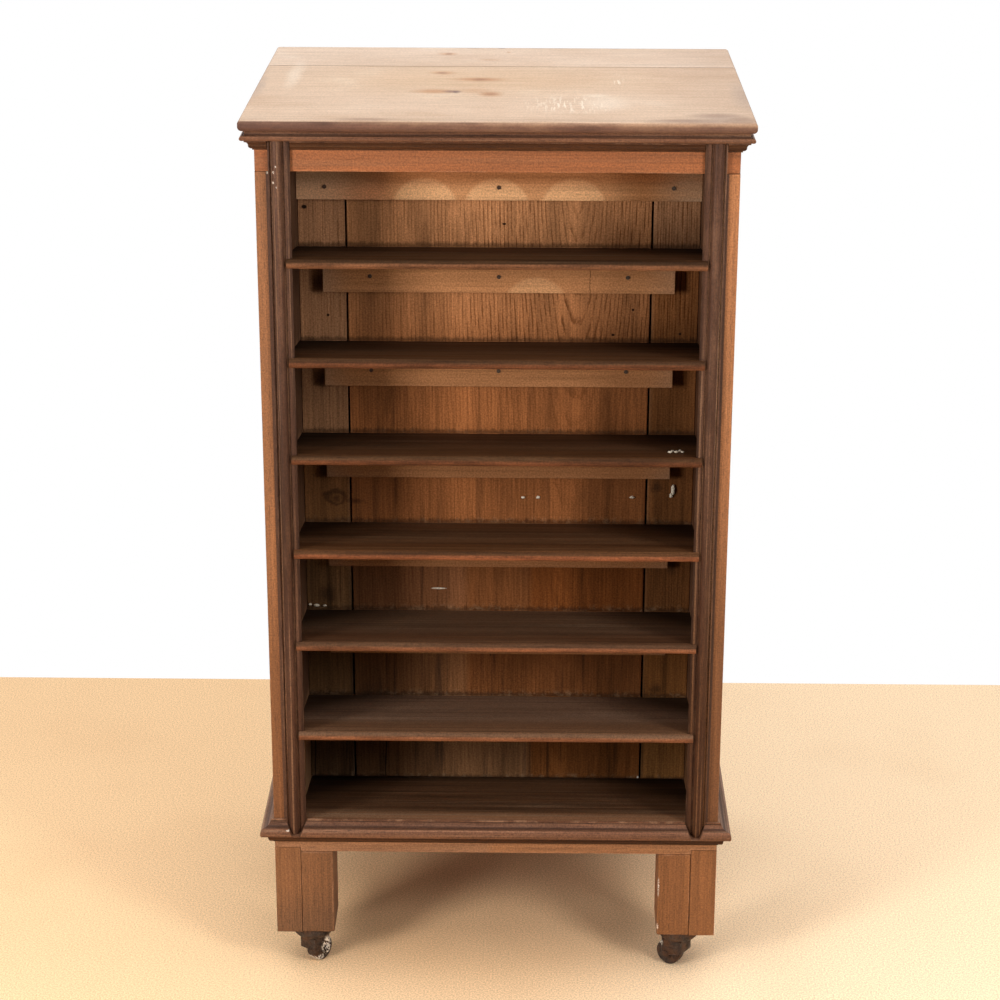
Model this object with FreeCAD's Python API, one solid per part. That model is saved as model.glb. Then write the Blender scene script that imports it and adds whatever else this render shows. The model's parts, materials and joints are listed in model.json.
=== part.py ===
import FreeCAD, Part
import math
import os

# Cylinder record cabinet on casters: open front, sloping shelves, applied mouldings.
# Millimetres, +Z up, front towards -Y, origin on the floor under the middle of the outline.

# Carcass
carcass_width = 406.0
carcass_depth = 335.0
side_thickness = 23.5
post_depth = 50.0
side_skirt = 4.0
moulding_overhang = 12.0

# Top
top_thickness = 10.0
top_seam_gap = 0.4
top_rear_board_depth = 97.0
top_edge_upper_radius = 3.2
top_edge_lower_radius = 4.4

# Rails and legs
rail_thickness = 20.0
rail_lap_rise = 4.0
bottom_rail_reveal = 10.5
top_rail_reveal = 18.5
rear_bottom_rail_height = 24.0
leg_height = 84.0
leg_block_width = 30.0
rear_floor_thickness = 10.0

# Shelves
shelf_count = 6
shelf_pitch = 87.7
shelf_thickness = 9.0
shelf_slope_degrees = 9.8
shelf_depth = 126.0
shelf_nosing_reach = 7.0
top_compartment_height = 73.7
bottom_compartment_height = 89.3
housing_depth = 5.0
housing_clearance = 0.15
nosing_clearance = 0.3

# Partition, battens and back
board_thickness = 10.0
board_gap = 1.5
partition_centre_width = 272.0
partition_floor_gap = 3.0
batten_thickness = 13.0
shelf_batten_length = 315.0
shelf_batten_height = 30.0
top_batten_height = 86.0
back_board_count = 3

# Nails in the battens
nail_head_radius = 1.8
nail_head_height = 0.8
nail_shank_radius = 0.9
nail_bite = 7.0
nail_clearance = 0.1
shelf_batten_nail_spread = 115.0
top_batten_nail_spread = 154.0
batten_nail_drop = 17.0
top_batten_nail_rise = 12.0

# Pilaster strip, from its inner flat outwards
pilaster_outer_strip = 11.5
pilaster_flat_width = 5.2
pilaster_flat_height = 3.0
pilaster_quirk_width = 1.6
pilaster_quirk_height = 2.2
pilaster_bead_width = 8.6
pilaster_bead_height = 7.5
pilaster_fillet_width = 1.6
pilaster_fillet_height = 4.2
pilaster_foot_taper = 13.0
pilaster_tip_width = 7.0
pilaster_clearance = 0.2

# Cornice members, from the bottom up
cornice_cyma_height = 7.6
cornice_fillet_height = 1.4
cornice_torus_height = 4.4
cornice_cove_height = 3.6
cornice_foot_reach = 1.2
cornice_cyma_reach = 7.4
cornice_torus_reach = 11.0
cyma_swell = 0.1

# Base moulding members, from the bottom up
base_cyma_height = 9.0
base_torus_height = 8.3
base_cove_height = 5.0
base_cap_height = 1.2
base_foot_reach = 1.0
base_cyma_reach = 9.6
base_cove_reach = 8.4
base_cap_reach = 2.4
base_torus_lean = 0.35
base_cove_hollow = 0.33
pilaster_foot_rise = 1.5

# Casters
wheel_radius = 12.5
wheel_width = 11.0
wheel_crown = 0.8
wheel_trail = 8.0
wheel_side_gap = 0.6
wheel_crown_gap = 1.5
axle_radius = 2.2
axle_head_radius = 3.4
axle_head_height = 1.2
running_clearance = 0.08
fork_thickness = 2.6
fork_tip_radius = 4.6
fork_crown_height = 3.0
fork_crown_half_length = 9.0
fork_hood_height = 9.5
fork_boss_radius = 7.0
fork_boss_height = 1.2
swivel_gap = 0.3
stem_radius = 4.0
stem_length = 34.0
socket_clearance = 0.5
plate_radius = 19.0
plate_rim_height = 5.5
plate_height = 11.0
plate_nose_radius = 10.0
caster_inset = 8.5
caster_front_setback = 20.0
caster_rear_setback = 25.0
screw_circle_radius = 13.5
screw_head_radius = 2.6
screw_head_height = 1.6
screw_shank_radius = 1.4
screw_length = 14.0
screw_seat_thickness = 2.0
screw_clearance = 0.1
screws_per_plate = 4

# Headings of the casters at rest, in degrees from +X
caster_headings = {
    "front_left": 55.0,
    "front_right": 144.0,
    "rear_left": 64.0,
    "rear_right": 141.0,
}

# Modelling values: nearness of one place, run of cutters past a face, full turn, sine of 45 degrees
same_place = 0.001
cut_margin = 1.0
full_turn = 360.0
diagonal = math.sqrt(0.5)

# Derived places across the width
half_width = carcass_width / 2
inner_half = half_width - side_thickness
pilaster_width = (
    pilaster_flat_width
    + 2 * pilaster_quirk_width
    + pilaster_bead_width
    + pilaster_fillet_width
)
pilaster_outer = half_width - pilaster_outer_strip
pilaster_inner = pilaster_outer - pilaster_width
tongue_half = inner_half + housing_depth - housing_clearance
nosing_half = pilaster_inner + pilaster_flat_width - nosing_clearance
block_inner = inner_half - leg_block_width
caster_x = inner_half - caster_inset

# Derived places along the depth
top_depth = carcass_depth + moulding_overhang
front_y = moulding_overhang - top_depth / 2
rear_y = top_depth / 2
seam_y = rear_y - top_rear_board_depth
partition_y = front_y + shelf_depth
batten_y = partition_y - batten_thickness
back_y = rear_y - board_thickness
rear_rail_y = back_y - rail_thickness
caster_y = {"front": front_y + caster_front_setback, "rear": rear_y - caster_rear_setback}

# Derived heights
axle_z = wheel_radius
crown_z = 2 * wheel_radius + wheel_crown_gap
boss_z = crown_z + fork_crown_height
plate_z = boss_z + fork_boss_height + swivel_gap
leg_z = plate_z + plate_height
rail_z = leg_z + leg_height
base_z = rail_z + bottom_rail_reveal
base_height = base_cyma_height + base_torus_height + base_cove_height + base_cap_height
base_top_z = base_z + base_height
lowest_crest_z = base_top_z + bottom_compartment_height
highest_crest_z = lowest_crest_z + (shelf_count - 1) * shelf_pitch
top_rail_z = highest_crest_z + top_compartment_height
cornice_z = top_rail_z + top_rail_reveal
cornice_height = (
    cornice_cyma_height
    + cornice_fillet_height
    + cornice_torus_height
    + cornice_cove_height
)
top_z = cornice_z + cornice_height
pilaster_top_z = cornice_z + cornice_cyma_height + cornice_fillet_height
pilaster_foot_z = base_z + base_cyma_height + pilaster_foot_rise
side_z = rail_z - side_skirt

slope = math.radians(shelf_slope_degrees)
shelf_rise = shelf_thickness / math.cos(slope)
beyond = 2 * moulding_overhang


def point(x, y, z):
    return FreeCAD.Vector(x, y, z)


def box(low, high):
    size = point(*high) - point(*low)
    return Part.makeBox(size.x, size.y, size.z, point(*low))


def rod(radius, start, length, direction=(0, 0, 1)):
    return Part.makeCylinder(radius, length, point(*start), point(*direction))


def line(start, end):
    return Part.makeLine(start, end)


def arc(start, middle, end):
    return Part.Arc(start, middle, end).toShape()


def prism(edges, direction):
    return Part.Face(Part.Wire(edges)).extrude(point(*direction))


def polygon(points, direction):
    corners = list(points)
    return Part.Face(Part.makePolygon(corners + corners[:1])).extrude(point(*direction))


def mirrored(shape, left):
    return shape.mirror(point(0, 0, 0), point(1, 0, 0)) if left else shape


def turned(shape, degrees, place):
    copy = shape.copy()
    copy.rotate(point(0, 0, 0), point(0, 0, 1), degrees)
    copy.translate(point(*place))
    return copy


# Heights on the sloping shelves
def shelf_crest(number):
    return highest_crest_z - (number - 1) * shelf_pitch


def shelf_top_at(number, y):
    nosing = shelf_thickness / 2
    centre_y = front_y - shelf_nosing_reach + nosing
    centre_z = shelf_crest(number) - nosing
    return centre_z + nosing / math.cos(slope) - (y - centre_y) * math.tan(slope)


def bottom_shelf_top_at(y):
    return base_top_z - (y - front_y) * math.tan(slope)


def sloped_slab(top_at, start_y, end_y, half_length, grow):
    """A sloping board between two upright planes, grown by a clearance above and below."""
    corners = [
        point(-half_length, start_y, top_at(start_y) + grow),
        point(-half_length, end_y, top_at(end_y) + grow),
        point(-half_length, end_y, top_at(end_y) - shelf_rise - grow),
        point(-half_length, start_y, top_at(start_y) - shelf_rise - grow),
    ]
    return polygon(corners, (2 * half_length, 0, 0))


def shelf_tops():
    tops = []
    for number in range(1, shelf_count + 1):
        tops.append(lambda y, number=number: shelf_top_at(number, y))
    return tops


# Top boards with a rounded edge on the free sides
def free_edges(board, height, round_front):
    """Edges of a board at one height, along its ends and, where asked, along its front."""
    outline = board.BoundBox
    chosen = []
    for edge in board.Edges:
        span = edge.BoundBox
        level = abs(span.ZMin - height) < same_place and abs(span.ZMax - height) < same_place
        on_left = abs(span.XMax - outline.XMin) < same_place
        on_right = abs(span.XMin - outline.XMax) < same_place
        on_front = round_front and abs(span.YMax - outline.YMin) < same_place
        if level and (on_left or on_right or on_front):
            chosen.append(edge)
    return chosen


def rounded_board(start_y, end_y, round_front):
    half = half_width + moulding_overhang
    high_z = top_z + top_thickness
    board = box((-half, start_y, top_z), (half, end_y, high_z))
    board = board.makeFillet(top_edge_upper_radius, free_edges(board, high_z, round_front))
    return board.makeFillet(top_edge_lower_radius, free_edges(board, top_z, round_front))


# Moulding sections: reach out of the carcass face against height
def section_edges(place, rows):
    """Edges of a closed section from its corners; a list holds the middle and the end of an arc."""
    edges = []
    here = place(*rows[0])
    for row in rows[1:]:
        if isinstance(row, list):
            middle = place(*row[0])
            end = place(*row[1])
            edges.append(arc(here, middle, end))
        else:
            end = place(*row)
            edges.append(line(here, end))
        here = end
    edges.append(line(here, place(*rows[0])))
    return edges


def cyma_arcs(foot_reach, start, head_reach, head):
    """Two arcs of an ogee that is round below and hollow above."""
    middle_reach = (foot_reach + head_reach) / 2
    middle = (start + head) / 2
    swell_reach = (head_reach - foot_reach) * cyma_swell
    swell = (head - start) * cyma_swell
    below = ((foot_reach + middle_reach) / 2 + swell_reach, (start + middle) / 2 - swell)
    above = ((middle_reach + head_reach) / 2 - swell_reach, (middle + head) / 2 + swell)
    return [[below, (middle_reach, middle)], [above, (head_reach, head)]]


def cornice_rows():
    cyma_foot = cornice_foot_reach
    torus_foot = cornice_cyma_height + cornice_fillet_height
    torus_head = torus_foot + cornice_torus_height
    torus_root = cornice_torus_reach - cornice_torus_height / 2
    cove_reach = cornice_cyma_reach - cornice_foot_reach / 2
    rows = [(0, 0), (cornice_foot_reach, 0), (cornice_foot_reach, cyma_foot)]
    rows += cyma_arcs(cornice_foot_reach, cyma_foot, cornice_cyma_reach, cornice_cyma_height)
    rows.append((cornice_cyma_reach, torus_foot))
    rows.append((torus_root, torus_foot))
    rows.append([(cornice_torus_reach, (torus_foot + torus_head) / 2), (torus_root, torus_head)])
    rows.append((cornice_cyma_reach, torus_head))
    rows.append([(cove_reach, (torus_head + cornice_height) / 2), (cornice_cyma_reach, cornice_height)])
    rows.append((0, cornice_height))
    return rows


def bulge_middle(widest, level, end_reach, end):
    """Middle of an arc that leaves its widest point upright and stops at the given end."""
    inward = widest - end_reach
    along = end - level
    radius = (inward ** 2 + along ** 2) / (2 * inward)
    angle = math.asin(along / radius) / 2
    return (widest - radius * (1 - math.cos(angle)), level + radius * math.sin(angle))


def base_rows():
    torus_foot = base_cyma_height
    torus_head = torus_foot + base_torus_height
    torus_root = (base_cyma_reach + moulding_overhang) / 2
    widest_at = torus_foot + base_torus_height * base_torus_lean
    below = bulge_middle(moulding_overhang, widest_at, torus_root, torus_foot)
    above = bulge_middle(moulding_overhang, widest_at, base_cyma_reach, torus_head)
    cove_head = torus_head + base_cove_height
    cove_head_reach = base_cap_reach + base_foot_reach / 2
    hollow_reach = cove_head_reach + (base_cove_reach - cove_head_reach) * base_cove_hollow
    hollow = (hollow_reach, torus_head + base_cove_height * base_cove_hollow)
    rows = [(0, 0), (base_foot_reach, 0), (base_foot_reach, base_foot_reach)]
    rows += cyma_arcs(base_foot_reach, base_foot_reach, base_cyma_reach, base_cyma_height)
    rows.append((torus_root, torus_foot))
    rows.append([below, (moulding_overhang, widest_at)])
    rows.append([above, (base_cyma_reach, torus_head)])
    rows.append((base_cove_reach, torus_head))
    rows.append([hollow, (cove_head_reach, cove_head)])
    rows.append((base_cap_reach, cove_head))
    rows.append((base_cap_reach, base_height))
    rows.append((0, base_height))
    return rows


def mitred_mouldings(rows, bottom_z, height):
    """Front length and left and right returns of one section, cut to 45 degree mitres."""
    far = half_width + beyond
    far_y = front_y - beyond
    low_z = bottom_z - cut_margin
    upward = (0, 0, height + 2 * cut_margin)
    front_plan = [(-half_width, front_y), (half_width, front_y), (far, far_y), (-far, far_y)]
    side_plan = [(half_width, front_y), (far, far_y), (far, rear_y), (half_width, rear_y)]
    front_keep = polygon([point(x, y, low_z) for x, y in front_plan], upward)
    side_keep = polygon([point(x, y, low_z) for x, y in side_plan], upward)
    front_edges = section_edges(lambda reach, up: point(-far, front_y - reach, bottom_z + up), rows)
    side_edges = section_edges(lambda reach, up: point(half_width + reach, far_y, bottom_z + up), rows)
    front = prism(front_edges, (2 * far, 0, 0)).common(front_keep)
    right = prism(side_edges, (0, rear_y - far_y, 0)).common(side_keep)
    return front, mirrored(right, True), right


# Pilaster strip on the right post
def pilaster_right():
    flat_end = pilaster_inner + pilaster_flat_width
    bead_start = flat_end + pilaster_quirk_width
    bead_end = bead_start + pilaster_bead_width
    fillet_start = bead_end + pilaster_quirk_width

    def place(x, reach):
        return point(x, front_y - reach, pilaster_foot_z)

    rows = [
        (pilaster_inner, 0),
        (pilaster_inner, pilaster_flat_height),
        (flat_end, pilaster_flat_height),
        (flat_end, pilaster_quirk_height),
        (bead_start, pilaster_quirk_height),
        [((bead_start + bead_end) / 2, pilaster_bead_height), (bead_end, pilaster_quirk_height)],
        (fillet_start, pilaster_quirk_height),
        (fillet_start, pilaster_fillet_height),
        (pilaster_outer, pilaster_fillet_height),
        (pilaster_outer, 0),
    ]
    strip = prism(section_edges(place, rows), (0, 0, pilaster_top_z - pilaster_foot_z))
    return strip.common(pilaster_outline(0, pilaster_top_z))


def pilaster_outline(clearance, head_z):
    """Upright outline of the right strip with a tapered foot, deep enough to cut the mouldings."""
    low_x = pilaster_inner - clearance
    high_x = pilaster_outer + clearance
    low_z = pilaster_foot_z - clearance
    taper_z = low_z + pilaster_foot_taper
    taper_inset = (pilaster_width - pilaster_tip_width) / 2
    cut_y = front_y - beyond
    outline = [
        (low_x, head_z),
        (low_x, taper_z),
        (low_x + taper_inset, low_z),
        (high_x - taper_inset, low_z),
        (high_x, taper_z),
        (high_x, head_z),
    ]
    return polygon([point(x, cut_y, z) for x, z in outline], (0, beyond, 0))


# Posts, panels and rails
def housings():
    """Grooves for the shelf ends, running out at the front under the pilasters."""
    start_y = front_y - cut_margin
    reach = inner_half + housing_depth
    cutters = []
    for top_at in shelf_tops():
        cutters.append(sloped_slab(top_at, start_y, partition_y, reach, housing_clearance))
    end_y = partition_y + board_thickness
    cutters.append(sloped_slab(bottom_shelf_top_at, start_y, end_y, reach, housing_clearance))
    return cutters


def bottom_rail_top_z():
    return bottom_shelf_top_at(front_y + rail_thickness) - shelf_rise


def front_post_right():
    post = box((inner_half, front_y, leg_z), (half_width, front_y + post_depth, top_z))
    lap_y = front_y + rail_thickness
    top_lap = box((inner_half, front_y, top_rail_z), (half_width, lap_y, top_z))
    low_z = rail_z + rail_lap_rise
    low_lap = box((inner_half, front_y, low_z), (half_width, lap_y, bottom_rail_top_z()))
    return post.cut([top_lap, low_lap] + housings())


def rear_post_right():
    return box((inner_half, rear_y - post_depth, leg_z), (half_width, rear_y, top_z))


def side_panel_right():
    panel = box((inner_half, front_y + post_depth, side_z), (half_width, rear_y - post_depth, top_z))
    return panel.cut(housings())


def front_top_rail():
    return box((-half_width, front_y, top_rail_z), (half_width, front_y + rail_thickness, top_z))


def front_bottom_rail():
    lap_z = rail_z + rail_lap_rise
    high_z = bottom_rail_top_z()
    outline = [
        (-half_width, lap_z),
        (-inner_half, lap_z),
        (-inner_half, rail_z),
        (inner_half, rail_z),
        (inner_half, lap_z),
        (half_width, lap_z),
        (half_width, high_z),
        (-half_width, high_z),
    ]
    return polygon([point(x, front_y, z) for x, z in outline], (0, rail_thickness, 0))


def rear_rail(low_z, high_z):
    return box((-inner_half, rear_rail_y, low_z), (inner_half, back_y, high_z))


def rear_floor_board():
    start_y = partition_y + board_thickness
    high_z = rail_z + rear_floor_thickness
    return box((-inner_half, start_y, rail_z), (inner_half, rear_rail_y, high_z))


def leg_block_right(start_y):
    return box((block_inner, start_y, leg_z), (inner_half, start_y + post_depth, rail_z))


# Shelves
def shelf(number):
    """Sloping board with a half-round nosing, notched round the pilaster flats."""
    nosing = shelf_thickness / 2
    centre_y = front_y - shelf_nosing_reach + nosing
    centre_z = shelf_crest(number) - nosing
    left = -tongue_half
    up_y = nosing * math.sin(slope)
    up_z = nosing * math.cos(slope)
    upper = point(left, centre_y + up_y, centre_z + up_z)
    lower = point(left, centre_y - up_y, centre_z - up_z)
    tip = point(left, centre_y - up_z, centre_z + up_y)
    upper_back = point(left, partition_y, shelf_top_at(number, partition_y))
    lower_back = point(left, partition_y, shelf_top_at(number, partition_y) - shelf_rise)
    edges = [line(upper, upper_back), line(upper_back, lower_back)]
    edges += [line(lower_back, lower), arc(lower, tip, upper)]
    board = prism(edges, (2 * tongue_half, 0, 0))
    low_z = lower_back.z - shelf_pitch
    high_z = upper.z + shelf_pitch
    end_y = front_y + nosing_clearance
    flat_y = front_y - pilaster_flat_height - nosing_clearance
    notches = []
    for side in (-1, 1):
        outer = sorted((side * nosing_half, side * half_width))
        notches.append(box((outer[0], front_y - beyond, low_z), (outer[1], end_y, high_z)))
        neck = sorted((side * (pilaster_inner - nosing_clearance), side * half_width))
        notches.append(box((neck[0], flat_y, low_z), (neck[1], end_y, high_z)))
    return board.cut(notches)


def bottom_shelf():
    return sloped_slab(bottom_shelf_top_at, front_y, partition_y + board_thickness, tongue_half, 0)


# Battens, partition, back and nails
def shelf_batten(number):
    """Ledge under the back of a shelf, bevelled to the shelf's slope."""
    half = shelf_batten_length / 2
    back_z = shelf_top_at(number, partition_y) - shelf_rise
    front_z = shelf_top_at(number, batten_y) - shelf_rise
    corners = [
        point(-half, batten_y, back_z - shelf_batten_height),
        point(-half, partition_y, back_z - shelf_batten_height),
        point(-half, partition_y, back_z),
        point(-half, batten_y, front_z),
    ]
    return polygon(corners, (2 * half, 0, 0))


def top_batten():
    return box((-inner_half, batten_y, top_z - top_batten_height), (inner_half, partition_y, top_z))


def nail_places():
    """Middle of every nail head's back, on the front faces of the battens."""
    places = []
    top_nail_z = top_z - top_batten_height + top_batten_nail_rise
    for x in (-top_batten_nail_spread, 0, top_batten_nail_spread):
        places.append((x, batten_y, top_nail_z))
    for number in range(1, shelf_count + 1):
        z = shelf_top_at(number, batten_y) - shelf_rise - batten_nail_drop
        for x in (-shelf_batten_nail_spread, 0, shelf_batten_nail_spread):
            places.append((x, batten_y, z))
    return places


def nail(place):
    x, y, z = place
    head = rod(nail_head_radius, (x, y - nail_head_height, z), nail_head_height, (0, 1, 0))
    shank = rod(nail_shank_radius, place, batten_thickness + nail_bite, (0, 1, 0))
    return head.fuse(shank).removeSplitter()


def nail_hole(place):
    depth = batten_thickness + nail_bite + nail_clearance
    return rod(nail_shank_radius + nail_clearance, place, depth, (0, 1, 0))


def partition_boards():
    low_z = bottom_shelf_top_at(partition_y) + partition_floor_gap
    centre_half = partition_centre_width / 2
    side_start = centre_half + board_gap
    spans = {
        "left": (-inner_half, -side_start),
        "centre": (-centre_half, centre_half),
        "right": (side_start, inner_half),
    }
    boards = {}
    for name, (low_x, high_x) in spans.items():
        boards[name] = box((low_x, partition_y, low_z), (high_x, partition_y + board_thickness, top_z))
    return boards


def back_boards():
    width = (2 * inner_half - (back_board_count - 1) * board_gap) / back_board_count
    boards = []
    for index in range(back_board_count):
        low_x = -inner_half + index * (width + board_gap)
        boards.append(box((low_x, back_y, rail_z), (low_x + width, rear_y, top_z)))
    return boards


def drilled(shape, cutters):
    """The shape less the cutters that reach into it."""
    touching = [cutter for cutter in cutters if cutter.BoundBox.intersect(shape.BoundBox)]
    return shape.cut(touching) if touching else shape


# Casters, modelled with the stem on the Z axis and the wheel trailing along +X
def caster_plate():
    rim_z = plate_z + plate_height - plate_rim_height
    bend_x = plate_nose_radius + (plate_radius - plate_nose_radius) * diagonal
    bend_z = rim_z - (rim_z - plate_z) * diagonal
    bore = stem_radius + running_clearance

    def place(x, z):
        return point(x, 0, z)

    rows = [
        (bore, leg_z),
        (plate_radius, leg_z),
        (plate_radius, rim_z),
        [(bend_x, bend_z), (plate_nose_radius, plate_z)],
        (bore, plate_z),
    ]
    edges = section_edges(place, rows)
    plate = Part.Face(Part.Wire(edges)).revolve(point(0, 0, 0), point(0, 0, 1), full_turn)
    return plate.cut([screw_recess(spot) for spot in screw_places()])


def screw_places():
    places = []
    for index in range(screws_per_plate):
        angle = 2 * math.pi * index / screws_per_plate
        x = screw_circle_radius * math.cos(angle)
        y = screw_circle_radius * math.sin(angle)
        places.append((x, y, leg_z - screw_seat_thickness))
    return places


def screw_recess(place):
    x, y, z = place
    low_z = plate_z - cut_margin
    well = rod(screw_head_radius + screw_clearance, (x, y, low_z), z - low_z)
    hole = rod(screw_shank_radius + screw_clearance, (x, y, z), screw_seat_thickness)
    return well.fuse(hole)


def screw(place):
    x, y, z = place
    head = rod(screw_head_radius, (x, y, z - screw_head_height), screw_head_height)
    shank = rod(screw_shank_radius, place, screw_length)
    return head.fuse(shank).removeSplitter()


def screw_hole(place):
    return rod(screw_shank_radius + screw_clearance, place, screw_length + screw_clearance)


def stem_socket():
    return rod(stem_radius + socket_clearance, (0, 0, leg_z), stem_length + socket_clearance)


def fork():
    """Crown, boss and stem with a hood in front and two tapering cheeks that carry the axle."""
    cheek_inner = wheel_width / 2 + wheel_side_gap
    cheek_outer = cheek_inner + fork_thickness
    crown_end = wheel_trail + fork_tip_radius
    hood_x = -fork_crown_half_length
    hood_z = crown_z - fork_hood_height
    crown = box((hood_x, -cheek_outer, crown_z), (crown_end, cheek_outer, boss_z))
    hood = box((hood_x, -cheek_outer, hood_z), (hood_x + fork_thickness, cheek_outer, crown_z))
    boss = rod(fork_boss_radius, (0, 0, boss_z), fork_boss_height)
    stem = rod(stem_radius, (0, 0, boss_z), leg_z + stem_length - boss_z)
    body = crown.fuse([hood, boss, stem])
    for low_y in (-cheek_outer, cheek_inner):
        outline = [
            point(hood_x, low_y, crown_z),
            point(hood_x, low_y, hood_z),
            point(wheel_trail - fork_tip_radius, low_y, axle_z),
            point(wheel_trail + fork_tip_radius, low_y, axle_z),
            point(crown_end, low_y, crown_z),
        ]
        cheek = polygon(outline, (0, fork_thickness, 0))
        tip = rod(fork_tip_radius, (wheel_trail, low_y, axle_z), fork_thickness, (0, 1, 0))
        body = body.fuse([cheek, tip])
    hole_radius = axle_radius + running_clearance
    hole = rod(hole_radius, (wheel_trail, -cheek_outer, axle_z), 2 * cheek_outer, (0, 1, 0))
    return body.removeSplitter().cut(hole)


def axle():
    reach = wheel_width / 2 + wheel_side_gap + fork_thickness
    pin = rod(axle_radius, (wheel_trail, -reach, axle_z), 2 * reach, (0, 1, 0))
    near_y = -reach - axle_head_height
    near = rod(axle_head_radius, (wheel_trail, near_y, axle_z), axle_head_height, (0, 1, 0))
    far = rod(axle_head_radius, (wheel_trail, reach, axle_z), axle_head_height, (0, 1, 0))
    return pin.fuse([near, far]).removeSplitter()


def wheel():
    """Barrel wheel, crowned across its tread."""
    half = wheel_width / 2
    bore = axle_radius + running_clearance
    shoulder = wheel_radius - wheel_crown

    def place(y, radius):
        return point(wheel_trail, y, axle_z + radius)

    rows = [(-half, bore), (-half, shoulder), [(0, wheel_radius), (half, shoulder)], (half, bore)]
    face = Part.Face(Part.Wire(section_edges(place, rows)))
    return face.revolve(point(wheel_trail, 0, axle_z), point(0, 1, 0), full_turn)


def caster_places():
    places = {}
    for corner, heading in caster_headings.items():
        end, side = corner.split("_")
        x = -caster_x if side == "left" else caster_x
        places[corner] = (heading, (x, caster_y[end], 0))
    return places


# Assembly
def build():
    nodes = {}
    nodes["top_front_board"] = rounded_board(-top_depth / 2, seam_y - top_seam_gap, True)
    nodes["top_rear_board"] = rounded_board(seam_y, rear_y, False)

    outlines = [pilaster_outline(pilaster_clearance, pilaster_top_z)]
    outlines.append(mirrored(outlines[0], True))
    cornice = mitred_mouldings(cornice_rows(), cornice_z, cornice_height)
    base = mitred_mouldings(base_rows(), base_z, base_height)
    for part, pieces in (("cornice", cornice), ("base_moulding", base)):
        nodes[part + "_front"] = pieces[0].cut(outlines)
        nodes[part + "_left"] = pieces[1]
        nodes[part + "_right"] = pieces[2]

    nodes["front_top_rail"] = front_top_rail()
    nodes["front_bottom_rail"] = front_bottom_rail()
    nodes["rear_top_rail"] = rear_rail(top_rail_z, top_z)
    nodes["rear_bottom_rail"] = rear_rail(rail_z, rail_z + rear_bottom_rail_height)
    nodes["rear_floor_board"] = rear_floor_board()

    nail_holes = [nail_hole(place) for place in nail_places()]
    for number in range(1, shelf_count + 1):
        nodes["shelf_%d" % number] = shelf(number)
        nodes["shelf_batten_%d" % number] = drilled(shelf_batten(number), nail_holes)
    nodes["bottom_shelf"] = bottom_shelf()
    nodes["top_batten"] = drilled(top_batten(), nail_holes)
    for name, board in partition_boards().items():
        nodes["partition_board_" + name] = drilled(board, nail_holes)
    for name, board in zip(("left", "centre", "right"), back_boards()):
        nodes["back_board_" + name] = board
    nodes["batten_nails"] = Part.makeCompound([nail(place) for place in nail_places()])

    plates = []
    screws = []
    bores = []
    for corner, (heading, place) in caster_places().items():
        plates.append(turned(caster_plate(), 0, place))
        screws += [turned(screw(spot), 0, place) for spot in screw_places()]
        bores += [turned(screw_hole(spot), 0, place) for spot in screw_places()]
        bores.append(turned(stem_socket(), 0, place))
        nodes["caster_fork_" + corner] = turned(fork(), heading, place)
        nodes["caster_axle_" + corner] = turned(axle(), heading, place)
        nodes["caster_wheel_" + corner] = turned(wheel(), heading, place)
    nodes["caster_plates"] = Part.makeCompound(plates)
    nodes["caster_screws"] = Part.makeCompound(screws)

    for side in ("left", "right"):
        left = side == "left"
        nodes["pilaster_" + side] = mirrored(pilaster_right(), left)
        nodes["side_panel_" + side] = mirrored(side_panel_right(), left)
        nodes["post_front_" + side] = drilled(mirrored(front_post_right(), left), bores)
        nodes["post_rear_" + side] = drilled(mirrored(rear_post_right(), left), bores)
        nodes["leg_block_front_" + side] = drilled(mirrored(leg_block_right(front_y), left), bores)
        rear_block = leg_block_right(rear_y - post_depth)
        nodes["leg_block_rear_" + side] = drilled(mirrored(rear_block, left), bores)
    return nodes


os.makedirs("parts", exist_ok=True)
for node_name, node_shape in build().items():
    node_shape.exportStep("parts/" + node_name + ".step")
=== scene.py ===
import json
import math

import bmesh
import bpy
from mathutils import Matrix, Vector, noise

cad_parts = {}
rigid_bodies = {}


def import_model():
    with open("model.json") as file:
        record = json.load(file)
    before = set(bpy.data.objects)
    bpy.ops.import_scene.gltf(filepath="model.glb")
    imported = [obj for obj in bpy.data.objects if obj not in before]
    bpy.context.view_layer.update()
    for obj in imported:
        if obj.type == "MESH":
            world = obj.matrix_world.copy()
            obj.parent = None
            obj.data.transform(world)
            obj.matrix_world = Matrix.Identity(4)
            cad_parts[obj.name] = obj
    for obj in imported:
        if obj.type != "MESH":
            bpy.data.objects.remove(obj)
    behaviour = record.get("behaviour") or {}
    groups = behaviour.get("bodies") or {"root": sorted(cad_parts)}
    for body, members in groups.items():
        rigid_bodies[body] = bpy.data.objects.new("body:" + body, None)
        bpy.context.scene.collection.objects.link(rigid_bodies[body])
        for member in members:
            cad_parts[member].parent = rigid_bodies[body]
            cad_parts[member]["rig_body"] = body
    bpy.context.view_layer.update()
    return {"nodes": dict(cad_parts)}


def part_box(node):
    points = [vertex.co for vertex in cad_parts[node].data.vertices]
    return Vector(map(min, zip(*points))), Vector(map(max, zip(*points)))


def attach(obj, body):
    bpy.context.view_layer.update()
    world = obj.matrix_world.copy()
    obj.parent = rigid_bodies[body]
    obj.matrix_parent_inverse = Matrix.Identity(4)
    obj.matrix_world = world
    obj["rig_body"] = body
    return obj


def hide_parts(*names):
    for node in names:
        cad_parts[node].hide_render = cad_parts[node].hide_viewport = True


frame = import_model()

MM = 0.001

# Camera of the photograph: a square frame, looking down and slightly to the left
SENSOR = 36.0
FOCAL_PIXELS = 2566.8
FRAME_PIXELS = 1000.0
CAMERA_PLACE = Vector((0.0290, -2.2682, 1.2350))
CAMERA_PITCH = math.radians(19.93)
CAMERA_HEADING = math.radians(0.705)
CAMERA_ROLL = math.radians(0.17)

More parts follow.
